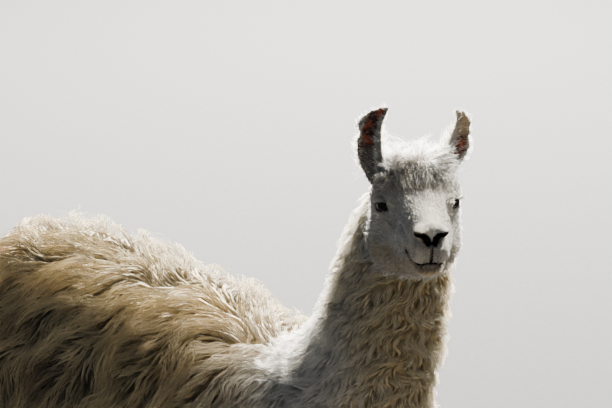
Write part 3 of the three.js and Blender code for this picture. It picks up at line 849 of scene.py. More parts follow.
material, tree, shader = new_material("Hide", 0.85)
where = add_node(tree, "ShaderNodeTexCoord").outputs["Object"]
marks, skin = attribute(tree, "marks"), attribute(tree, "skin")
bare, lining, hairy = add_node(tree, "ShaderNodeSeparateColor", Color=skin["Color"]).outputs
rust = attribute(tree, "rust")["Fac"]
mottle = add_node(tree, "ShaderNodeTexNoise", Vector=where, Scale=55, Detail=4).outputs["Fac"]
combed = add_node(tree, "ShaderNodeMapping", Vector=where, Rotation=(0, 0, -HEAD_TURN), Scale=(520, 95, 330))
hairs = add_node(tree, "ShaderNodeTexNoise", Vector=combed.outputs[0], Scale=1, Detail=3, Roughness=0.65)
hairs = hairs.outputs["Fac"]
clots = add_node(tree, "ShaderNodeTexNoise", Vector=where, Scale=130, Detail=4, Distortion=1.2).outputs["Fac"]
# Painted shade under the fleece: the hide takes the colour of a strand close to its root.
underwool = add_node(
    tree, "ShaderNodeGroup", node_tree=wool, Along=0.08, Shade=clots,
    Marks=marks["Color"], White=marks["Alpha"],
)
speckle = maths(tree, "MULTIPLY_ADD", hairs, 0.9, maths(tree, "MULTIPLY", mottle, 0.5))
short_hair = mix_colours(tree, ramp(tree, speckle, 0.45, 0.95), FACE_HAIR_SHADE, FACE_HAIR)
patches = maths(tree, "MULTIPLY", ramp(tree, mottle, 0.47, 0.57), rust)
lined = mix_colours(tree, rust, LINING_LOW, mix_colours(tree, patches, LINING, LINING_RUST))
worn = mix_colours(tree, mottle, BARE, BARE_WORN)
tan_and_glow, _, dark = add_node(tree, "ShaderNodeSeparateColor", Color=marks["Color"]).outputs
# Tan in the short hair: yellowish hair and mottling, and under the jaw partly painted warm light.
short_hair = mix_colours(tree, maths(tree, "MULTIPLY", tan_and_glow, 0.6), short_hair, TAN)
short_hair = mix_colours(tree, dark, short_hair, BROWN)
colour = mix_colours(tree, hairy, underwool.outputs["Color"], short_hair)
colour = mix_colours(tree, lining, colour, lined)
colour = mix_colours(tree, bare, colour, worn)
# Painted shade: near black where the skin lies deep in the nostrils, the cleft and the mouth.
colour = mix_colours(tree, skin["Alpha"], colour, PIT_SHADE)
tree.links.new(colour, shader.inputs["Base Color"])
rough = add_node(tree, "ShaderNodeMapRange", Value=bare, _3=0.88, _4=0.6)
tree.links.new(rough.outputs[0], shader.inputs["Roughness"])
shader.inputs["Specular IOR Level"].default_value = 0.07
clotted = maths(tree, "MULTIPLY", clots, maths(tree, "SUBTRACT", 1.0, hairy))
relief = maths(tree, "ADD", maths(tree, "MULTIPLY", hairs, 0.5), clotted)
bump = add_node(tree, "ShaderNodeBump", Strength=0.55, Distance=0.0022, Height=relief)
tree.links.new(bump.outputs["Normal"], shader.inputs["Normal"])
hide.data.materials.append(material)
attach(hide, "root")
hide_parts(*FLESH)

# ---------------------------------------------------------------- the fleece of the trunk
# Long wool hangs over the back and flanks in wavy locks that lie down and back from the spine. Each lock is
# a bundle of fine three-sided strands, rooted in the hide, which draw together towards a thin tip.
hide.data.calc_loop_triangles()
triangles = np.empty(len(hide.data.loop_triangles) * 3, int)
hide.data.loop_triangles.foreach_get("vertices", triangles)
triangles = triangles.reshape(-1, 3)
hide_points = read_points(hide.data)
hide_normals = read_normals(hide.data)
hide_tree = BVHTree.FromPolygons(hide_points.tolist(), triangles.tolist())
triangle_normals = unit(hide_normals[triangles].sum(axis=1))
corners = hide_points[triangles]
triangle_crosses = np.cross(corners[:, 1] - corners[:, 0], corners[:, 2] - corners[:, 0])
triangle_areas = np.linalg.norm(triangle_crosses, axis=1) / 2


def drop_on_hide(points):
    """The nearest place on the hide to each point, and the way out of it."""
    feet = np.empty_like(points)
    faces = np.empty(len(points), int)
    for i, point in enumerate(points.tolist()):
        foot, _, face, _ = hide_tree.find_nearest(point)
        feet[i] = foot
        faces[i] = face
    return feet, triangle_normals[faces]


def even(spacing):
    """The same spacing everywhere."""
    return lambda points: np.full(len(points), spacing)


def scatter(spacing, kept):
    """Roots over the hide, at least spacing(place) apart, as thick as kept(place, normal) says."""
    centres = corners.mean(axis=1)
    share = kept(centres, triangle_normals)
    gaps = np.maximum(spacing(centres), 1e-4)
    weight = triangle_areas * share / gaps**2
    tries = rng.choice(len(weight), size=int(weight.sum() * 3.2), p=weight / weight.sum())
    a, b = np.sqrt(rng.random(len(tries))), rng.random(len(tries))
    mixed = np.stack([1 - a, a * (1 - b), a * b], axis=1)
    places = (corners[tries] * mixed[:, :, None]).sum(axis=1)
    ways = unit((hide_normals[triangles[tries]] * mixed[:, :, None]).sum(axis=1))
    tree = kdtree.KDTree(len(places))
    for i, place in enumerate(places.tolist()):
        tree.insert(place, i)
    tree.balance()
    reach = spacing(places)
    free = np.ones(len(places), bool)
    chosen = []
    for i, place in enumerate(places.tolist()):
        if free[i]:
            chosen.append(i)
            for _, j, _ in tree.find_range(place, reach[i]):
                free[j] = False
    return places[chosen], ways[chosen]


def turned(directions, normals, angle):
    """Directions turned about the normals."""
    sideways = np.cross(normals, directions)
    return directions * np.cos(angle)[:, None] + sideways * np.sin(angle)[:, None]


def along_hide(directions, normals):
    return unit(directions - (directions * normals).sum(axis=1, keepdims=True) * normals)


def swirled(way, points, normals, turn, size, seed):
    """A way laid along the hide, turned to and fro in soft waves about size metres apart."""
    return turned(along_hide(way, normals), normals, turn * (ripple(points, size, seed) - 0.5))


def grow(roots, normals, lie, length, rise, steps, hang=0.0, settle=0.4):
    """Guide hairs that walk over the hide the way of its lie, rise above it and settle again."""
    paths = np.empty((len(roots), steps + 1, 3))
    ups = np.empty_like(paths)
    place, up = roots.copy(), normals.copy()
    for k in range(steps + 1):
        t = k / steps
        height = rise * (1 - (1 - t) ** 2.2) * (1 - settle * t**2) - 0.002 * (1 - t)
        paths[:, k] = place + up * height[:, None]
        paths[:, k, 2] -= hang * t * np.clip(-up[:, 2], 0, 1)
        ups[:, k] = up
        if k < steps:
            way = along_hide(lie(place, up), up)
            place, up = drop_on_hide(place + way * (length / steps)[:, None])
    return paths, ups


def bundle(paths, ups, count, root_spread, tip_spread, wave, wavelength, frizz, stray, lengths=(0.7, 1.08)):
    """Strands round each guide hair, which wave with it and draw together towards its tip."""
    guides, rings, _ = paths.shape
    root_spread, tip_spread, wave, wavelength, frizz, stray = (
        np.broadcast_to(size, guides) for size in (root_spread, tip_spread, wave, wavelength, frizz, stray)
    )
    total = guides * count
    owner = np.repeat(np.arange(guides), count)
    reach = rng.uniform(*lengths, total)[:, None] * np.linspace(0, 1, rings)
    at = np.clip(reach * (rings - 1), 0, rings - 1 - 1e-6)
    low = at.astype(int)
    part = (at - low)[:, :, None]
    base = paths[owner[:, None], low] * (1 - part) + paths[owner[:, None], low + 1] * part
    up = unit(ups[owner[:, None], low] * (1 - part) + ups[owner[:, None], low + 1] * part)
    beyond = np.maximum(reach * (rings - 1) - at, 0)[:, :, None]
    base += beyond * (paths[owner, -1] - paths[owner, -2])[:, None]
    ahead = np.gradient(base, axis=1)
    side = unit(np.cross(ahead, up))
    run = np.linalg.norm(np.diff(base, axis=1), axis=2).sum(axis=1)[:, None] * np.linspace(0, 1, rings)
    t = np.linspace(0, 1, rings)[None, :]
    angle = rng.uniform(0, math.tau, total)[:, None]
    out = np.sqrt(rng.random(total))[:, None]
    spread = (root_spread[owner][:, None] * (1 - t**0.7) + tip_spread[owner][:, None] * t) * out
    phase = rng.uniform(0, math.tau, guides)[owner][:, None]
    strand_phase = rng.uniform(0, math.tau, total)[:, None]
    swing = np.minimum(1, 2.2 * t)
    turn = math.tau * run / wavelength[owner][:, None]
    sway = wave[owner][:, None] * swing * np.sin(turn + phase)
    sway += frizz[owner][:, None] * swing * np.sin(2.3 * turn + strand_phase)
    lift = 0.45 * wave[owner][:, None] * swing * np.cos(turn + phase + 0.6)
    lift += 0.6 * frizz[owner][:, None] * swing * np.cos(1.9 * turn + strand_phase)
    sway += stray[owner][:, None] * t**1.6 * rng.normal(size=total)[:, None]
    lift += 0.5 * stray[owner][:, None] * t**1.6 * rng.normal(size=total)[:, None]
    line = base + side * (spread * np.cos(angle) + sway)[:, :, None]
    line += up * (0.45 * spread * (np.sin(angle) + 0.3) + lift)[:, :, None]
    return line, up, owner


UV_PATCH = 0.003
UV_MARGIN = 0.002


def coat(name, lines, ups, widths, marks, spots, material, flat=1.1):
    """One mesh of closed three-sided strands, flat times as high as wide. spots are the roots' places on an
    unwrap of the hide."""
    total, rings, _ = lines.shape
    ahead = unit(np.gradient(lines, axis=1))
    side = unit(np.cross(ahead, ups))
    over = np.cross(side, ahead)
    t = np.linspace(0, 1, rings)
    profile = np.interp(t, [0, 0.15, 0.6, 0.9, 1], [0.75, 1, 0.85, 0.4, 0.12])
    half = (widths[:, None] / 2 * profile)[:, :, None]
    body = rings - 1
    ring = np.stack([lines - side * half, lines + side * half, lines + over * half * flat], axis=2)[:, :body]
    per = body * 3 + 1
    verts = np.concatenate([ring.reshape(total, body * 3, 3), lines[:, -1:]], axis=1).reshape(-1, 3)
    quads = []
    for k in range(body - 1):
        for c in range(3):
            d = (c + 1) % 3
            quads.append((3 * k + c, 3 * k + d, 3 * k + 3 + d, 3 * k + 3 + c))
    last = 3 * (body - 1)
    tris = [(last + c, last + (c + 1) % 3, per - 1) for c in range(3)] + [(2, 1, 0)]
    quads = np.array(quads)
    tris = np.array(tris)
    shape = np.concatenate([quads.ravel(), tris.ravel()])
    starts = np.concatenate([np.arange(len(quads)) * 4, len(quads) * 4 + np.arange(len(tris)) * 3])
    first = np.arange(total)[:, None]
    loops = (first * per + shape).ravel()
    loop_starts = (first * len(shape) + starts).ravel()
    mesh = bpy.data.meshes.new(name)
    mesh.vertices.add(len(verts))
    mesh.vertices.foreach_set("co", verts.ravel())
    mesh.loops.add(len(loops))
    mesh.loops.foreach_set("vertex_index", loops)
    mesh.polygons.add(len(loop_starts))
    mesh.polygons.foreach_set("loop_start", loop_starts)
    mesh.polygons.foreach_set("use_smooth", np.ones(len(loop_starts), bool))
    mesh.update(calc_edges=True)

    # Each strand's faces are laid out in a small patch where its root lies on the unwrap.
    u = np.array([(c + (j in (1, 2))) / 3 for q in quads for j, c in enumerate([q[0] % 3] * 4)])
    v = np.array([(vert // 3) / body for q in quads for vert in q])
    tip_u = np.array([x for c in range(3) for x in (c / 3, (c + 1) / 3, (c + 0.5) / 3)] + [0.0, 0.5, 1.0])
    tip_v = np.array([(body - 1) / body, (body - 1) / body, 1.0] * 3 + [0.0, 0.12, 0.0])
    uv = np.stack([np.concatenate([u, tip_u]), np.concatenate([v, tip_v])], axis=1) * UV_PATCH
    low, high = spots.min(axis=0), spots.max(axis=0)
    spots = UV_MARGIN + (spots - low) / np.maximum(high - low, 1e-6) * (0.994 - UV_PATCH)
    layer = mesh.uv_layers.new(name="OFBake")
    layer.data.foreach_set("uv", (spots[:, None] + uv[None]).ravel())
    per_strand = np.concatenate([np.repeat(np.arange(body) / body, 3), [1.0]])
    store(mesh, "along", np.tile(per_strand, total))
    store(mesh, "across", np.tile([0, 1, 0.5] * body + [0.5], total))
    store(mesh, "shade", np.repeat(rng.random(total), per))
    paint(mesh, "marks", np.repeat(marks, per, axis=0))

    piece = new_piece(name, mesh)
    mesh.materials.append(material)
    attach(piece, "root")


def coat_in_parts(parts, lines, ups, widths, marks, spots, material):
    """The same in several meshes. parts gives each one's name and which of the strands are its own."""
    for name, mine in parts:
        coat(name, lines[mine], ups[mine], widths[mine], marks[mine], spots[mine], material)


# Every strand shows finer hairs than its own width: streaks that run along it, as many as it has lanes.
streaks = bpy.data.node_groups.new("Hair streaks", "ShaderNodeTree")
for name in ("Across", "Along", "Seed", "Lanes"):
    streaks.interface.new_socket(name, in_out="INPUT", socket_type="NodeSocketFloat")
streaks.interface.new_socket("Streak", in_out="OUTPUT", socket_type="NodeSocketFloat")
given = streaks.nodes.new("NodeGroupInput").outputs
result = streaks.nodes.new("NodeGroupOutput").inputs
lane = maths(streaks, "MULTIPLY", given["Across"], given["Lanes"])
place = add_node(
    streaks, "ShaderNodeCombineXYZ",
    X=maths(streaks, "MULTIPLY_ADD", given["Seed"], 90.0, lane),
    Y=maths(streaks, "MULTIPLY", given["Along"], 2.2),
    Z=maths(streaks, "MULTIPLY", given["Seed"], 37.0),
)
grain = add_node(streaks, "ShaderNodeTexNoise", Vector=place.outputs[0], Scale=1, Detail=3, Roughness=0.7)
streaks.links.new(ramp(streaks, grain.outputs["Fac"], 0.3, 0.7), result["Streak"])


def wool_material(name, lanes, relief, glow=0):
    """Wool coloured by the group above, each strand a little lighter or darker than the next. glow is how far
    light spreads inside it, in metres, for hair that shines when the sun is behind it."""
    material, tree, shader = new_material(name, 0.72)
    along, across, shade, marks = (attribute(tree, each) for each in ("along", "across", "shade", "marks"))
    streak = add_node(
        tree, "ShaderNodeGroup", node_tree=streaks,
        Across=across["Fac"], Along=along["Fac"], Seed=shade["Fac"], Lanes=lanes,
    ).outputs[0]
    tone = maths(tree, "MULTIPLY_ADD", streak, 0.62, maths(tree, "MULTIPLY", shade["Fac"], 0.38))
    locks = add_node(
        tree, "ShaderNodeGroup", node_tree=wool, Along=along["Fac"], Shade=tone,
        Marks=marks["Color"], White=marks["Alpha"],
    )
    tree.links.new(locks.outputs["Color"], shader.inputs["Base Color"])
    bump = add_node(tree, "ShaderNodeBump", Strength=0.7, Distance=relief, Height=streak)
    tree.links.new(bump.outputs["Normal"], shader.inputs["Normal"])
    shader.inputs["Sheen Weight"].default_value = 0.15
    shader.inputs["Sheen Roughness"].default_value = 0.5
    shader.inputs["Sheen Tint"].default_value = (1, 0.96, 0.88, 1)
    if glow:
        shader.inputs["Subsurface Weight"].default_value = 1.0
        shader.inputs["Subsurface Radius"].default_value = (1.0, 0.9, 0.75)
        shader.inputs["Subsurface Scale"].default_value = glow
    return material


fleece = wool_material("Fleece", 2.5, 0.0006)
white_hair = wool_material("White hair", 2.5, 0.0004, glow=0.007)
neck_wool = wool_material("Neck wool", 2.5, 0.0005, glow=0.007)
matted = wool_material("Matted wool", 11.0, 0.0015)


def trunk_lie(points, normals):
    """Back along the spine, and ever more steeply down the flanks, the rump and the breast."""
    x, y, z = points.T
    top = np.clip(normals[:, 2], 0, 1)
    low = smoothstep(1.23, 1.07, z)
    rump = smoothstep(0.42, 0.66, y)
    shoulder = smoothstep(-0.05, -0.25, y)
    breast = smoothstep(-0.38, -0.56, y)
    way = np.stack([
        0.5 * top * x / (np.abs(x) + 0.07),
        0.8 - 0.50 * low * (1 - 0.8 * shoulder) - 0.35 * rump - 0.75 * breast,
        -0.7 - 1.10 * low * (1 - 0.6 * shoulder) - 0.6 * rump - 0.4 * breast,
    ], axis=1)
    eddy = 0.7 * (ripple(points, 0.34, 11) - 0.5) + (1.0 + 0.6 * top) * (ripple(points, 0.10, 12) - 0.5)
    return turned(along_hide(way, normals), normals, eddy)


def trunk_only(points, normals):
    off = np.maximum.reduce([on_neck(points), on_tail(points), on_head(points), on_leg(points)])
    return 1.0 * (off < 0.5)


def front_wool(points):
    """1 on the shoulders and breast, where the wool is shorter."""
    return smoothstep(-0.12, -0.36, points[:, 1])


def belly_wool(points, normals):
    return smoothstep(-0.35, -0.7, normals[:, 2]) * smoothstep(0.75, 0.66, points[:, 2])


def unwrap_round(points, axis_from, axis_to):
    """Where points lie on a sheet wrapped round an axis: the turn about it and the way along it."""
    a, b = np.array(axis_from), np.array(axis_to)
    along = unit(b - a)
    away = points - a - ((points - a) @ along)[:, None] * along
    first = unit(np.cross(along, (1, 0.01, 0.02)))
    second = np.cross(along, first)
    return np.stack([np.arctan2(away @ first, away @ second), (points - a) @ along], axis=1)


TRUNK_LINE = ((0, -0.5, 0.95), (0, 0.6, 0.95))


def matted_locks(name, spacing, kept, lie, length, rise, width, line, steps=4, white=0):
    """Broad flat locks that overlap like shingles and hide the skin; the finer strands lie over them."""
    roots, normals = scatter(spacing, kept)
    length, rise = length(roots, normals), rise(roots, normals)
    paths, ups = grow(roots, normals, lie, length, rise, steps, settle=0.25)
    widths = rng.uniform(*width, len(roots))
    paths, ups, _ = bundle(paths, ups, 1, 0, 0, 0.25 * widths, 5 * widths, 0.05 * widths, 0.2 * widths)
    marks = np.maximum(markings(roots, normals), (0, 0, 0, white))
    return coat(name, paths, ups, widths, marks, unwrap_round(roots, *line), matted, flat=0.5)


def trunk_length(points, normals):
    short = (1 - 0.42 * front_wool(points)) * (1 - 0.4 * belly_wool(points, normals))
    return rng.uniform(0.10, 0.16, len(points)) * short


def trunk_rise(points, normals):
    low = (1 - 0.25 * front_wool(points)) * (1 - 0.35 * belly_wool(points, normals))
    return rng.uniform(0.5, 1.0, len(points)) * low


matted_locks(
    "fleece_under", even(0.0135), trunk_only, trunk_lie,
    lambda p, n: 0.72 * trunk_length(p, n), lambda p, n: 0.028 * trunk_rise(p, n), (0.006, 0.012), TRUNK_LINE,
)


def trunk_spacing(points):
    """Closer on the back and the right flank than on the left one, and widest under the belly."""
    right = smoothstep(0.05, -0.05, points[:, 0])
    low = smoothstep(0.80, 0.66, points[:, 2])
    return 0.0275 - 0.0053 * right + 0.004 * low


roots, normals = scatter(trunk_spacing, trunk_only)
rise = 0.056 * trunk_rise(roots, normals) + 0.010 * smoothstep(0.5, 0.9, normals[:, 2])
paths, ups = grow(roots, normals, trunk_lie, trunk_length(roots, normals), rise, 5, hang=0.03, settle=0.3)
CURLY_SPOT = (-0.09, -0.05, 1.17)
curly = smoothstep(0.30, 0.12, gap(roots, CURLY_SPOT)) + 0.35 * ripple(roots, 0.2, 15)
lines, strand_ups, owner = bundle(
    paths, ups, 13,
    root_spread=0.017,
    tip_spread=rng.uniform(0.002, 0.020, len(roots)),
    wave=rng.uniform(0.002, 0.005, len(roots)) * (1 + 1.1 * curly),
    wavelength=rng.uniform(0.075, 0.12, len(roots)) * (1 - 0.3 * np.clip(curly, 0, 1)),
    frizz=0.0028,
    stray=rng.uniform(0.004, 0.013, len(roots)),
    lengths=(0.6, 1.15),
)
widths = rng.uniform(0.0010, 0.0021, len(lines))
marks = markings(roots, normals)[owner]
spots = unwrap_round(lines[:, 0], *TRUNK_LINE)
MID_TRUNK = 0.09
right, fore = (roots[owner, 0] < 0), (roots[owner, 1] < MID_TRUNK)
parts = (
    ("fleece_right_fore", right & fore), ("fleece_right_rear", right & ~fore),
    ("fleece_left_fore", ~right & fore), ("fleece_left_rear", ~right & ~fore),
)
coat_in_parts(parts, lines, strand_ups, widths, marks, spots, fleece)

# ---------------------------------------------------------------- the wool of the neck
# Neck wool is short and tightly crimped, in small matted locks that lie down the neck. It is tan and curliest
# down the front, and smoother and whiter behind.
NECK_LINE = ((0, -0.34, 0.905), (-0.028, -0.595, 1.60))
neck_way = unit(np.array(NECK_LINE[0]) - np.array(NECK_LINE[1]))


def neck_lie(points, normals):
    front = smoothstep(-0.3, 0.8, normals @ unit(np.array((0.3, -0.95, 0))))
    way = along_hide(neck_way + (0, 0.25, 0) + np.zeros_like(points), normals)
    eddy = (0.5 + 1.1 * front) * (ripple(points, 0.055, 21) - 0.5) + 0.5 * (ripple(points, 0.2, 22) - 0.5)
    return turned(way, normals, 1.5 * eddy)


def neck_only(points, normals):
    return 1.0 * (on_neck(points) >= 0.5) * (on_head(points) < 0.75) * (on_ear(points) < 0.1)


def neck_length(points, normals):
    return rng.uniform(0.036, 0.055, len(points)) * (1 - 0.4 * on_head(points))


def neck_rise(points, normals):
    return rng.uniform(0.5, 1.0, len(points)) * (1 - 0.4 * on_head(points))


matted_locks(
    "wool_neck_under", even(0.0092), neck_only, neck_lie,
    lambda p, n: 0.75 * neck_length(p, n), lambda p, n: 0.013 * neck_rise(p, n), (0.005, 0.008), NECK_LINE, 3,
)
roots, normals = scatter(even(0.0128), neck_only)
rise = 0.026 * neck_rise(roots, normals)
paths, ups = grow(roots, normals, neck_lie, neck_length(roots, normals), rise, 4, settle=0.15)
lines, strand_ups, owner = bundle(
    paths, ups, 9,
    root_spread=0.0095,
    tip_spread=rng.uniform(0.002, 0.009, len(roots)),
    wave=rng.uniform(0.0008, 0.002, len(roots)),
    wavelength=rng.uniform(0.022, 0.034, len(roots)),
    frizz=0.0011,
    stray=0.0045,
)
widths = rng.uniform(0.0009, 0.0017, len(lines))
marks = markings(roots, normals)[owner]
spots = unwrap_round(lines[:, 0], *NECK_LINE)
MID_NECK = -0.01
right = roots[owner, 0] < MID_NECK
parts = (("wool_neck_right", right), ("wool_neck_left", ~right))
coat_in_parts(parts, lines, strand_ups, widths, marks, spots, neck_wool)

# ---------------------------------------------------------------- the tail
# The tail is short and bushy, with long wavy locks that hang down all round it.
TAIL_LINE = ((0, 0.76, 1.1), (0, 0.76, 0.8))


def tail_lie(points, normals):
    return swirled(np.zeros_like(points) + (0, 0.1, -1), points, normals, 0.7, 0.1, 31)


def tail_only(points, normals):
    return 1.0 * (on_tail(points) >= 0.5) * (points[:, 2] < 1.16)


roots, normals = scatter(even(0.0135), tail_only)
length = rng.uniform(0.09, 0.14, len(roots)) * (1 - 0.55 * smoothstep(0.90, 0.78, roots[:, 2]))
rise = rng.uniform(0.4, 1.0, len(roots)) * 0.024
paths, ups = grow(roots, normals, tail_lie, length, rise, 5)
lines, strand_ups, owner = bundle(
    paths, ups, 6, root_spread=0.012, tip_spread=rng.uniform(0.002, 0.006, len(roots)),
    wave=0.003, wavelength=0.08, frizz=0.0015, stray=0.003,
)
widths = rng.uniform(0.0018, 0.0032, len(lines))
marks = markings(roots, normals)[owner]
spots = unwrap_round(lines[:, 0], *TAIL_LINE)
coat("fleece_tail", lines, strand_ups, widths, marks, spots, fleece)

# ---------------------------------------------------------------- the legs
# Wool hangs in a skirt to the knee and hock, and gives way to short close hair down to the toes.


def leg_lie(points, normals):
    return swirled(np.zeros_like(points) + (0, 0.12, -1), points, normals, 0.6, 0.07, 41)


def leg_only(points, normals):
    return 1.0 * (on_leg(points) >= 0.5) * (points[:, 2] > 0.012)


roots, normals = scatter(lambda p: 0.0078 + 0.006 * smoothstep(0.42, 0.55, p[:, 2]), leg_only)
high = smoothstep(0.34, 0.52, roots[:, 2])
low = smoothstep(0.12, 0.05, roots[:, 2])
length = rng.uniform(0.8, 1.15, len(roots)) * (0.020 + 0.045 * high - 0.009 * low)
rise = rng.uniform(0.5, 1.0, len(roots)) * (0.005 + 0.017 * high - 0.002 * low)
paths, ups = grow(roots, normals, leg_lie, length, rise, 3)
lines, strand_ups, owner = bundle(
    paths, ups, 2, root_spread=0.004 + 0.004 * high, tip_spread=0.002,
    wave=0.0005 + 0.0015 * high, wavelength=0.045, frizz=0.0004, stray=0.001 + 0.002 * high,
)
widths = rng.uniform(0.0016, 0.0026, len(lines)) * (1 + 0.3 * high[owner])
marks = markings(roots, normals)[owner]
legs = 2 * (lines[:, 0, 0] > 0) + (lines[:, 0, 1] > 0.05)
spots = np.zeros((len(lines), 2))
for leg in range(4):
    pick = legs == leg
    middle = lines[pick, 0].mean(axis=0)
    spots[pick] = unwrap_round(lines[pick, 0], (*middle[:2], 0.6), (*middle[:2], 0)) + (7 * leg, 0)
fore = legs % 2 == 0
parts = (("hair_forelegs", fore), ("hair_hindlegs", ~fore))
coat_in_parts(parts, lines, strand_ups, widths, marks, spots, fleece)

# ---------------------------------------------------------------- the hair of the head
# The face is clothed in short flat hair that runs back from the nose. The poll carries a fluffy tuft that
# stands out all round and falls over the forehead, and the ears are fringed with longer hair at the rim.
POLL = (0, 54, 48)
POLL_SIZE = (60, 62, 56)


def on_poll(points):
    p = to_head(points)
    return smoothstep(1.15, 0.85, gap(p, POLL, POLL_SIZE)) * (1 - on_ear(points))


def poll_lie(points, normals):
    p = to_head(points)
    out = (p - (0, 66, 0)) * (1, 1, 0)
    way = unit(out) + (0, -0.7, 0.1)
    return swirled(way @ head_axes, points, normals, 0.8, 0.05, 51)


def under_tuft(points):
    """1 on the forehead just below the tuft, where the hair lengthens into it."""
    return smoothstep(1.5, 0.8, gap(to_head(points), (0, 14, 60), (52, 34, 30)))


def on_brow(points):
    return smoothstep(1.1, 0.6, gap(mirrored(to_head(points)), (60, 2, 32), (20, 26, 14)))


def face_lie(points, normals):
    p = to_head(points)
    side = np.sign(p[:, 0])
    low = smoothstep(10, -50, p[:, 2])[:, None]
    brow = on_brow(points)[:, None]
    way = np.stack([0.12 * side, np.ones(len(p)), np.full(len(p), 0.35)], axis=1) - low * (0, 0, 0.8)
    over_eye = np.stack([0.9 * side, np.full(len(p), 0.6), np.full(len(p), 0.1)], axis=1)
    way += (over_eye - way) * brow
    return swirled(way @ head_axes, points, normals, 0.6, 0.035, 52)


def face_only(points, normals):
    p = to_head(points)
    clear = on_ear(points) < 0.3
    for line, reach in ((NOSTRIL, 10), (CLEFT, 4), (MOUTH, 5.5)):
        clear = clear * (line_distance(p, line) > reach)
    for side in (-1, 1):
        ahead, rise, reach, _ = eye_angles(p, side)
        outside, _ = past_lid(ahead, rise)
        clear = clear * ((outside > 0.24) | (reach > 30))
    return clear * (on_head(points) >= 0.6) * (on_poll(points) < 0.8)


roots, normals = scatter(even(0.0033), face_only)
p = to_head(roots)
back = smoothstep(-70, 80, p[:, 1]) + 0.7 * on_poll(roots) + 0.6 * on_brow(roots) + 0.8 * under_tuft(roots)
back += 0.9 * smoothstep(-35, -85, p[:, 2]) * smoothstep(-135, -95, p[:, 1])
muzzle = smoothstep(-85, -125, p[:, 1])
tufted = 0.6 + 0.8 * ripple(roots, 0.012, 53)
back = np.minimum(back, 1.6)
length = rng.uniform(0.8, 1.2, len(roots)) * (0.011 + 0.012 * back - 0.0050 * muzzle)
rise = tufted * rng.uniform(0.2, 1.0, len(roots)) * (0.0036 + 0.0070 * back - 0.0012 * muzzle)
paths, ups = grow(roots, normals, face_lie, length, rise, 2)
lines, strand_ups, owner = bundle(
    paths, ups, 3, root_spread=0.0019, tip_spread=0.0012,
    wave=0.0003, wavelength=0.02, frizz=0.0003, stray=0.0012,
)
widths = rng.uniform(0.0006, 0.0010, len(lines)) * (1 + 0.3 * on_brow(roots) - 0.25 * muzzle)[owner]
marks = markings(roots, normals)
marks[:, 3] = 0.9
# Hairs near the bare skin darken with it, including the painted shade on the front of the muzzle.
marks[:, 2] += rng.uniform(0, 0.32 + 0.3 * on_brow(roots)) ** 1.5 + 0.55 * bare_skin(roots)
marks = np.clip(marks, 0, 1)[owner]
HEAD_LINE = (from_head((0, 40, 60)), from_head((0, -120, -60)))
spots = unwrap_round(lines[:, 0], *HEAD_LINE)
coat("hair_face", lines, strand_ups, widths, marks, spots, white_hair)

POLL_LINE = (from_head((0, 0, 0)), from_head((0, 60, 90)))


def poll_only(points, normals):
    return on_poll(points) >= 0.2


matted_locks(
    "hair_poll_under", even(0.0058), poll_only, poll_lie,
    lambda p, n: rng.uniform(0.024, 0.036, len(p)) * (0.4 + 0.6 * on_poll(p)),
    lambda p, n: rng.uniform(0.5, 0.9, len(p)) * 0.022 * on_poll(p),
    (0.003, 0.005), POLL_LINE, 3, 1,
)
roots, normals = scatter(even(0.0064), poll_only)
height = on_poll(roots)
fringe = smoothstep(45, 5, to_head(roots)[:, 1])
beside = smoothstep(34, 58, np.abs(to_head(roots)[:, 0]))
length = rng.uniform(0.036, 0.056, len(roots)) * (0.45 + 0.55 * height + 0.12 * fringe) * (1 - 0.4 * beside)
rise = rng.uniform(0.55, 1.15, len(roots)) * (0.060 - 0.042 * fringe) * height * (1 - 0.55 * beside)
paths, ups = grow(roots, normals, poll_lie, length, rise, 4, settle=0.12 + 0.35 * fringe)
lines, strand_ups, owner = bundle(
    paths, ups, 18, root_spread=0.009, tip_spread=rng.uniform(0.010, 0.018, len(roots)),
    wave=0.0008, wavelength=0.05, frizz=0.0006, stray=0.0055, lengths=(0.6, 1.12),
)
widths = rng.uniform(0.0006, 0.0011, len(lines))
marks = markings(roots, normals)[owner]
marks[:, 3] = 1
spots = unwrap_round(lines[:, 0], *POLL_LINE)
coat("hair_poll", lines, strand_ups, widths, marks, spots, white_hair)


def ear_lie(points, normals):
    """Up the back and the rim of the ear; inside, out from the inner edge across the bowl."""
    p = to_head(points)
    side = np.sign(p[:, 0])
    bowl = ear_bowl(points, normals)[:, None]
    upwards = np.stack([0.3 * side, np.zeros(len(p)), np.ones(len(p))], axis=1)
    over = np.stack([0.87 * side, np.full(len(p), 0.5), np.full(len(p), 0.5)], axis=1)
    return along_hide((upwards + (over - upwards) * bowl) @ head_axes, normals)


EAR_BARE = 0.92
EAR_LINE = (from_head((0, 70, 40)), from_head((0, 70, 160)))


def ears_kept(points, normals):
    """Thick outside and on the rim, thin where the bowl is bare."""
    up, _ = ear_place(to_head(points))
    return (on_ear(points) >= 0.3) * (1 - EAR_BARE * ear_lining(points, normals) * smoothstep(0.3, 0.45, up))


def ear_rim(points):
    up, over = ear_place(to_head(points))
    return np.maximum(smoothstep(0.62, 0.92, np.abs(over)), smoothstep(0.90, 0.97, up))


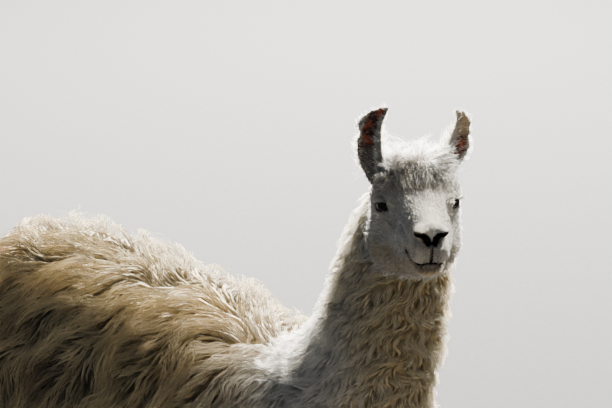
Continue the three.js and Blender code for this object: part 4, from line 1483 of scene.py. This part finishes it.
roots, normals = scatter(lambda p: 0.0026 - 0.0009 * ear_rim(p), ears_kept)
up, over = ear_place(to_head(roots))
rim = ear_rim(roots)
bowl = ear_bowl(roots, normals)
left_ear = to_head(roots)[:, 0] > 0
inner_base = smoothstep(0.3, 0.9, over) * smoothstep(0.80, 0.40, up) * (1 + 0.8 * left_ear)
tip = smoothstep(0.84, 0.95, up)
longer = 1 + 0.6 * rim + 0.7 * bowl * smoothstep(0.5, 0.3, up) + 0.7 * inner_base + 0.3 * tip
length = rng.uniform(0.008, 0.013, len(roots)) * longer
higher = 0.0024 + 0.0085 * rim + 0.002 * bowl + 0.006 * inner_base + 0.003 * tip
rise = rng.uniform(0.3, 1.2, len(roots)) * higher
paths, ups = grow(roots, normals, ear_lie, length, rise, 2, settle=0)
lines, strand_ups, owner = bundle(
    paths, ups, 1, root_spread=0.001, tip_spread=0.001,
    wave=0.0003, wavelength=0.02, frizz=0.0004, stray=0.002,
)
widths = rng.uniform(0.0008, 0.0014, len(lines))
marks = markings(roots, normals)[owner]
marks[:, 3] = 1
ragged = left_ear * smoothstep(0.58, 0.70, up) * smoothstep(1.2, 0.6, over)
marks[:, 0] = np.maximum(marks[:, 0], 0.85 * ragged)
speckled = 0.9 * ragged * smoothstep(0.5, 0.62, ripple(roots, 0.014, 54))
# The hair in the middle of each ear's bowl is darker.
darker_mid_bowl = 0.75 * bowl * smoothstep(0.7, 0.2, np.abs(over)) * smoothstep(0.30, 0.5, up)
marks[:, 2] = rng.uniform(0.3, 1.1, len(roots)) * np.maximum(speckled, darker_mid_bowl)
spots = unwrap_round(lines[:, 0], *EAR_LINE)
coat("hair_ears", lines, strand_ups, widths, marks, spots, white_hair)

# ---------------------------------------------------------------- the eyes and lashes
# Each eyeball is a glossy dark ball with a bulging clear front and a long level pupil. White lashes stand
# out from the upper lid and droop over it.
CORNEA_BULGE = 1.4
CORNEA_REACH = 0.66

eye_material, tree, shader = new_material("Eye", 0.07)
pupil, ring, _ = add_node(tree, "ShaderNodeSeparateColor", Color=attribute(tree, "iris")["Color"]).outputs
colour = mix_colours(tree, ring, (0.008, 0.006, 0.005, 1), (0.022, 0.011, 0.006, 1))
colour = mix_colours(tree, pupil, colour, (0.002, 0.002, 0.003, 1))
tree.links.new(colour, shader.inputs["Base Color"])
shader.inputs["Specular IOR Level"].default_value = 0.18
for side, name in ((1, "left"), (-1, "right")):
    spot = from_head((side * EYE["x"], EYE["y"], EYE["z"]))
    bpy.ops.mesh.primitive_uv_sphere_add(segments=64, ring_count=40, radius=EYE["r"] * MM, location=spot)
    ball = bpy.context.object
    ball.name = ball.data.name = f"eyeball_{name}"
    select_only(ball)
    bpy.ops.object.transform_apply(location=True, rotation=True, scale=True)
    bpy.ops.object.shade_smooth()
    p = to_head(read_points(ball.data))
    ahead, rise, reach, away = eye_angles(p, side)
    off = np.hypot(ahead, rise)
    cornea = CORNEA_BULGE * np.sqrt(np.clip(1 - (off / CORNEA_REACH) ** 2, 0, 1))
    p += unit(away) * (side, 1, 1) * cornea[:, None]
    write_points(ball.data, from_head(p))
    pupil = smoothstep(1.1, 0.9, np.hypot(ahead / 0.33, rise / 0.14))
    paint(ball.data, "iris", np.stack([pupil, smoothstep(0.62, 0.52, off)], axis=1))
    ball.data.materials.append(eye_material)
    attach(ball, "root")
    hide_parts(f"eye_{name}")

LASHES = 85  # on each upper lid
eyelashes = []
for side in (-1, 1):
    turn = rng.uniform(-0.80, 0.74, LASHES)
    rise = upper_lid(turn) + LID_TILT * turn + LID_LIFT + rng.uniform(0.02, 0.09, LASHES)
    way = np.cos(rise)[:, None] * (
        np.cos(turn)[:, None] * EYE_AXIS + np.sin(turn)[:, None] * EYE_FORWARDS
    ) + np.sin(rise)[:, None] * EYE_UPWARDS
    foot = (EYE["x"], EYE["y"], EYE["z"]) + (EYE["r"] + LID - 0.6) * way
    long = rng.uniform(11, 19, LASHES)[:, None, None] * np.linspace(0, 1, 5)[None, :, None]
    fan = unit(way + rng.normal(size=way.shape) * 0.16 + np.sin(turn)[:, None] * 0.35 * EYE_FORWARDS)
    droop = 0.028 * long**2 - 0.35 * long
    line = foot[:, None] + fan[:, None] * long + np.array((0, 0, 1.0)) * 0.5 * droop
    eyelashes.append(from_head((line * (side, 1, 1)).reshape(-1, 3)).reshape(line.shape))
lines = np.concatenate(eyelashes)
marks = np.tile((0, 0, 0, 1.0), (len(lines), 1))
strand_ups = np.tile((0, 0, 1.0), (*lines.shape[:2], 1))
widths = rng.uniform(0.0007, 0.0011, len(lines))
coat("lashes", lines, strand_ups, widths, marks, unwrap_round(lines[:, 0], *HEAD_LINE), fleece)

# ---------------------------------------------------------------- the nails
# Two horny nails tip each foot: dark grown layers of horn, mottled with paler patches.
horn, tree, shader = new_material("Horn", 0.5)
where = add_node(tree, "ShaderNodeTexCoord").outputs["Object"]
layers = add_node(
    tree, "ShaderNodeTexWave", Vector=where, bands_direction="Z", Scale=70, Distortion=3, Detail=2
)
mottle = add_node(tree, "ShaderNodeTexNoise", Vector=where, Scale=90, Detail=4)
colour = mix_colours(tree, mottle.outputs["Fac"], (0.022, 0.017, 0.013, 1), (0.105, 0.082, 0.060, 1))
tree.links.new(colour, shader.inputs["Base Color"])
bump = add_node(tree, "ShaderNodeBump", Strength=0.4, Distance=0.0005, Height=layers.outputs["Fac"])
tree.links.new(bump.outputs["Normal"], shader.inputs["Normal"])
for name, node in nodes.items():
    if name.endswith("_nail"):
        node.data.materials.clear()
        node.data.materials.append(horn)

# ---------------------------------------------------------------- floor, light and camera
# A plain floor under the feet, pale in the strong light, one large soft light behind the animal, a narrow one
# from the same side for the face, and a weak warm one before it.
floor_material, tree, shader = new_material("Pale floor", 0.9)
shader.inputs["Specular IOR Level"].default_value = 0.05
where = add_node(tree, "ShaderNodeTexCoord").outputs["Object"]
grit = add_node(tree, "ShaderNodeTexNoise", Vector=where, Scale=40).outputs["Fac"]
colour = mix_colours(tree, grit, (0.074, 0.076, 0.080, 1), (0.090, 0.092, 0.096, 1))
tree.links.new(colour, shader.inputs["Base Color"])
bpy.ops.mesh.primitive_plane_add(size=14, location=(0, 0, 0))
floor = bpy.context.object
floor.name = "floor"
floor.data.materials.append(floor_material)

CAMERA_TURN = math.radians(-49)
CAMERA_RISE = math.radians(21)
CAMERA_AWAY = 4.0
HEAD_RIGHT_OF_MIDDLE = 0.2074
LENS_MM = 127
to_camera = Vector((
    math.sin(CAMERA_TURN) * math.cos(CAMERA_RISE),
    -math.cos(CAMERA_TURN) * math.cos(CAMERA_RISE),
    math.sin(CAMERA_RISE),
))
to_right = Vector((math.cos(CAMERA_TURN), math.sin(CAMERA_TURN), 0))
aim = Vector(from_head((0, 0, EYE["z"]))) - to_right * HEAD_RIGHT_OF_MIDDLE

camera_data = bpy.data.cameras.new("camera")
camera_data.lens = LENS_MM
camera_data.sensor_width = 36
camera = new_piece("camera", camera_data)
camera.location = aim + to_camera * CAMERA_AWAY
camera.rotation_euler = to_camera.to_track_quat("Z", "Y").to_euler()
bpy.context.scene.camera = camera



def add_light(name, kind, aim, direction, distance, power, colour, **shape):
    """A light that stands off from its aim in a direction, and faces back at it."""
    data = bpy.data.lights.new(name, kind)
    data.energy = power
    data.color = colour
    for key, value in shape.items():
        setattr(data, key, value)
    light = new_piece(name, data)
    light.location = aim + direction.normalized() * distance
    light.rotation_euler = direction.to_track_quat("Z", "Y").to_euler()


SUN = (1.0, 0.95, 0.85)
GRASS_GLOW = (1.0, 0.86, 0.62)
KEY_POWER = 15500
FILL_POWER = 24
breast = Vector((0, -0.1, 1.0))
forehead = Vector(from_head((0, 0, 30)))
up = Vector((0, 0, 1))
level = Vector((to_camera.x, to_camera.y, 0)).normalized()
key_way = up * 0.47 - level * 0.87 + to_right * 0.10
face_way = up * 0.80 - level * 0.62 + to_right * 0.44
fill_way = level * 1.0 + to_right * 0.7 - up * 0.02
add_light("key", "AREA", breast, key_way, 9.0, KEY_POWER, SUN, shape="DISK", size=1.9)
add_light(
    "face", "SPOT", forehead, face_way, 6.5, KEY_POWER, SUN,
    shadow_soft_size=0.5, spot_size=math.radians(9), spot_blend=0.6,
)
add_light("fill", "AREA", breast, fill_way, 4.0, FILL_POWER, GRASS_GLOW, shape="DISK", size=1.6)
world = bpy.data.worlds.new("studio")
bpy.context.scene.world = world
world.use_nodes = True
sky = world.node_tree.nodes["Background"].inputs
sky["Color"].default_value = (0.72, 0.82, 0.95, 1)
sky["Strength"].default_value = 0.19
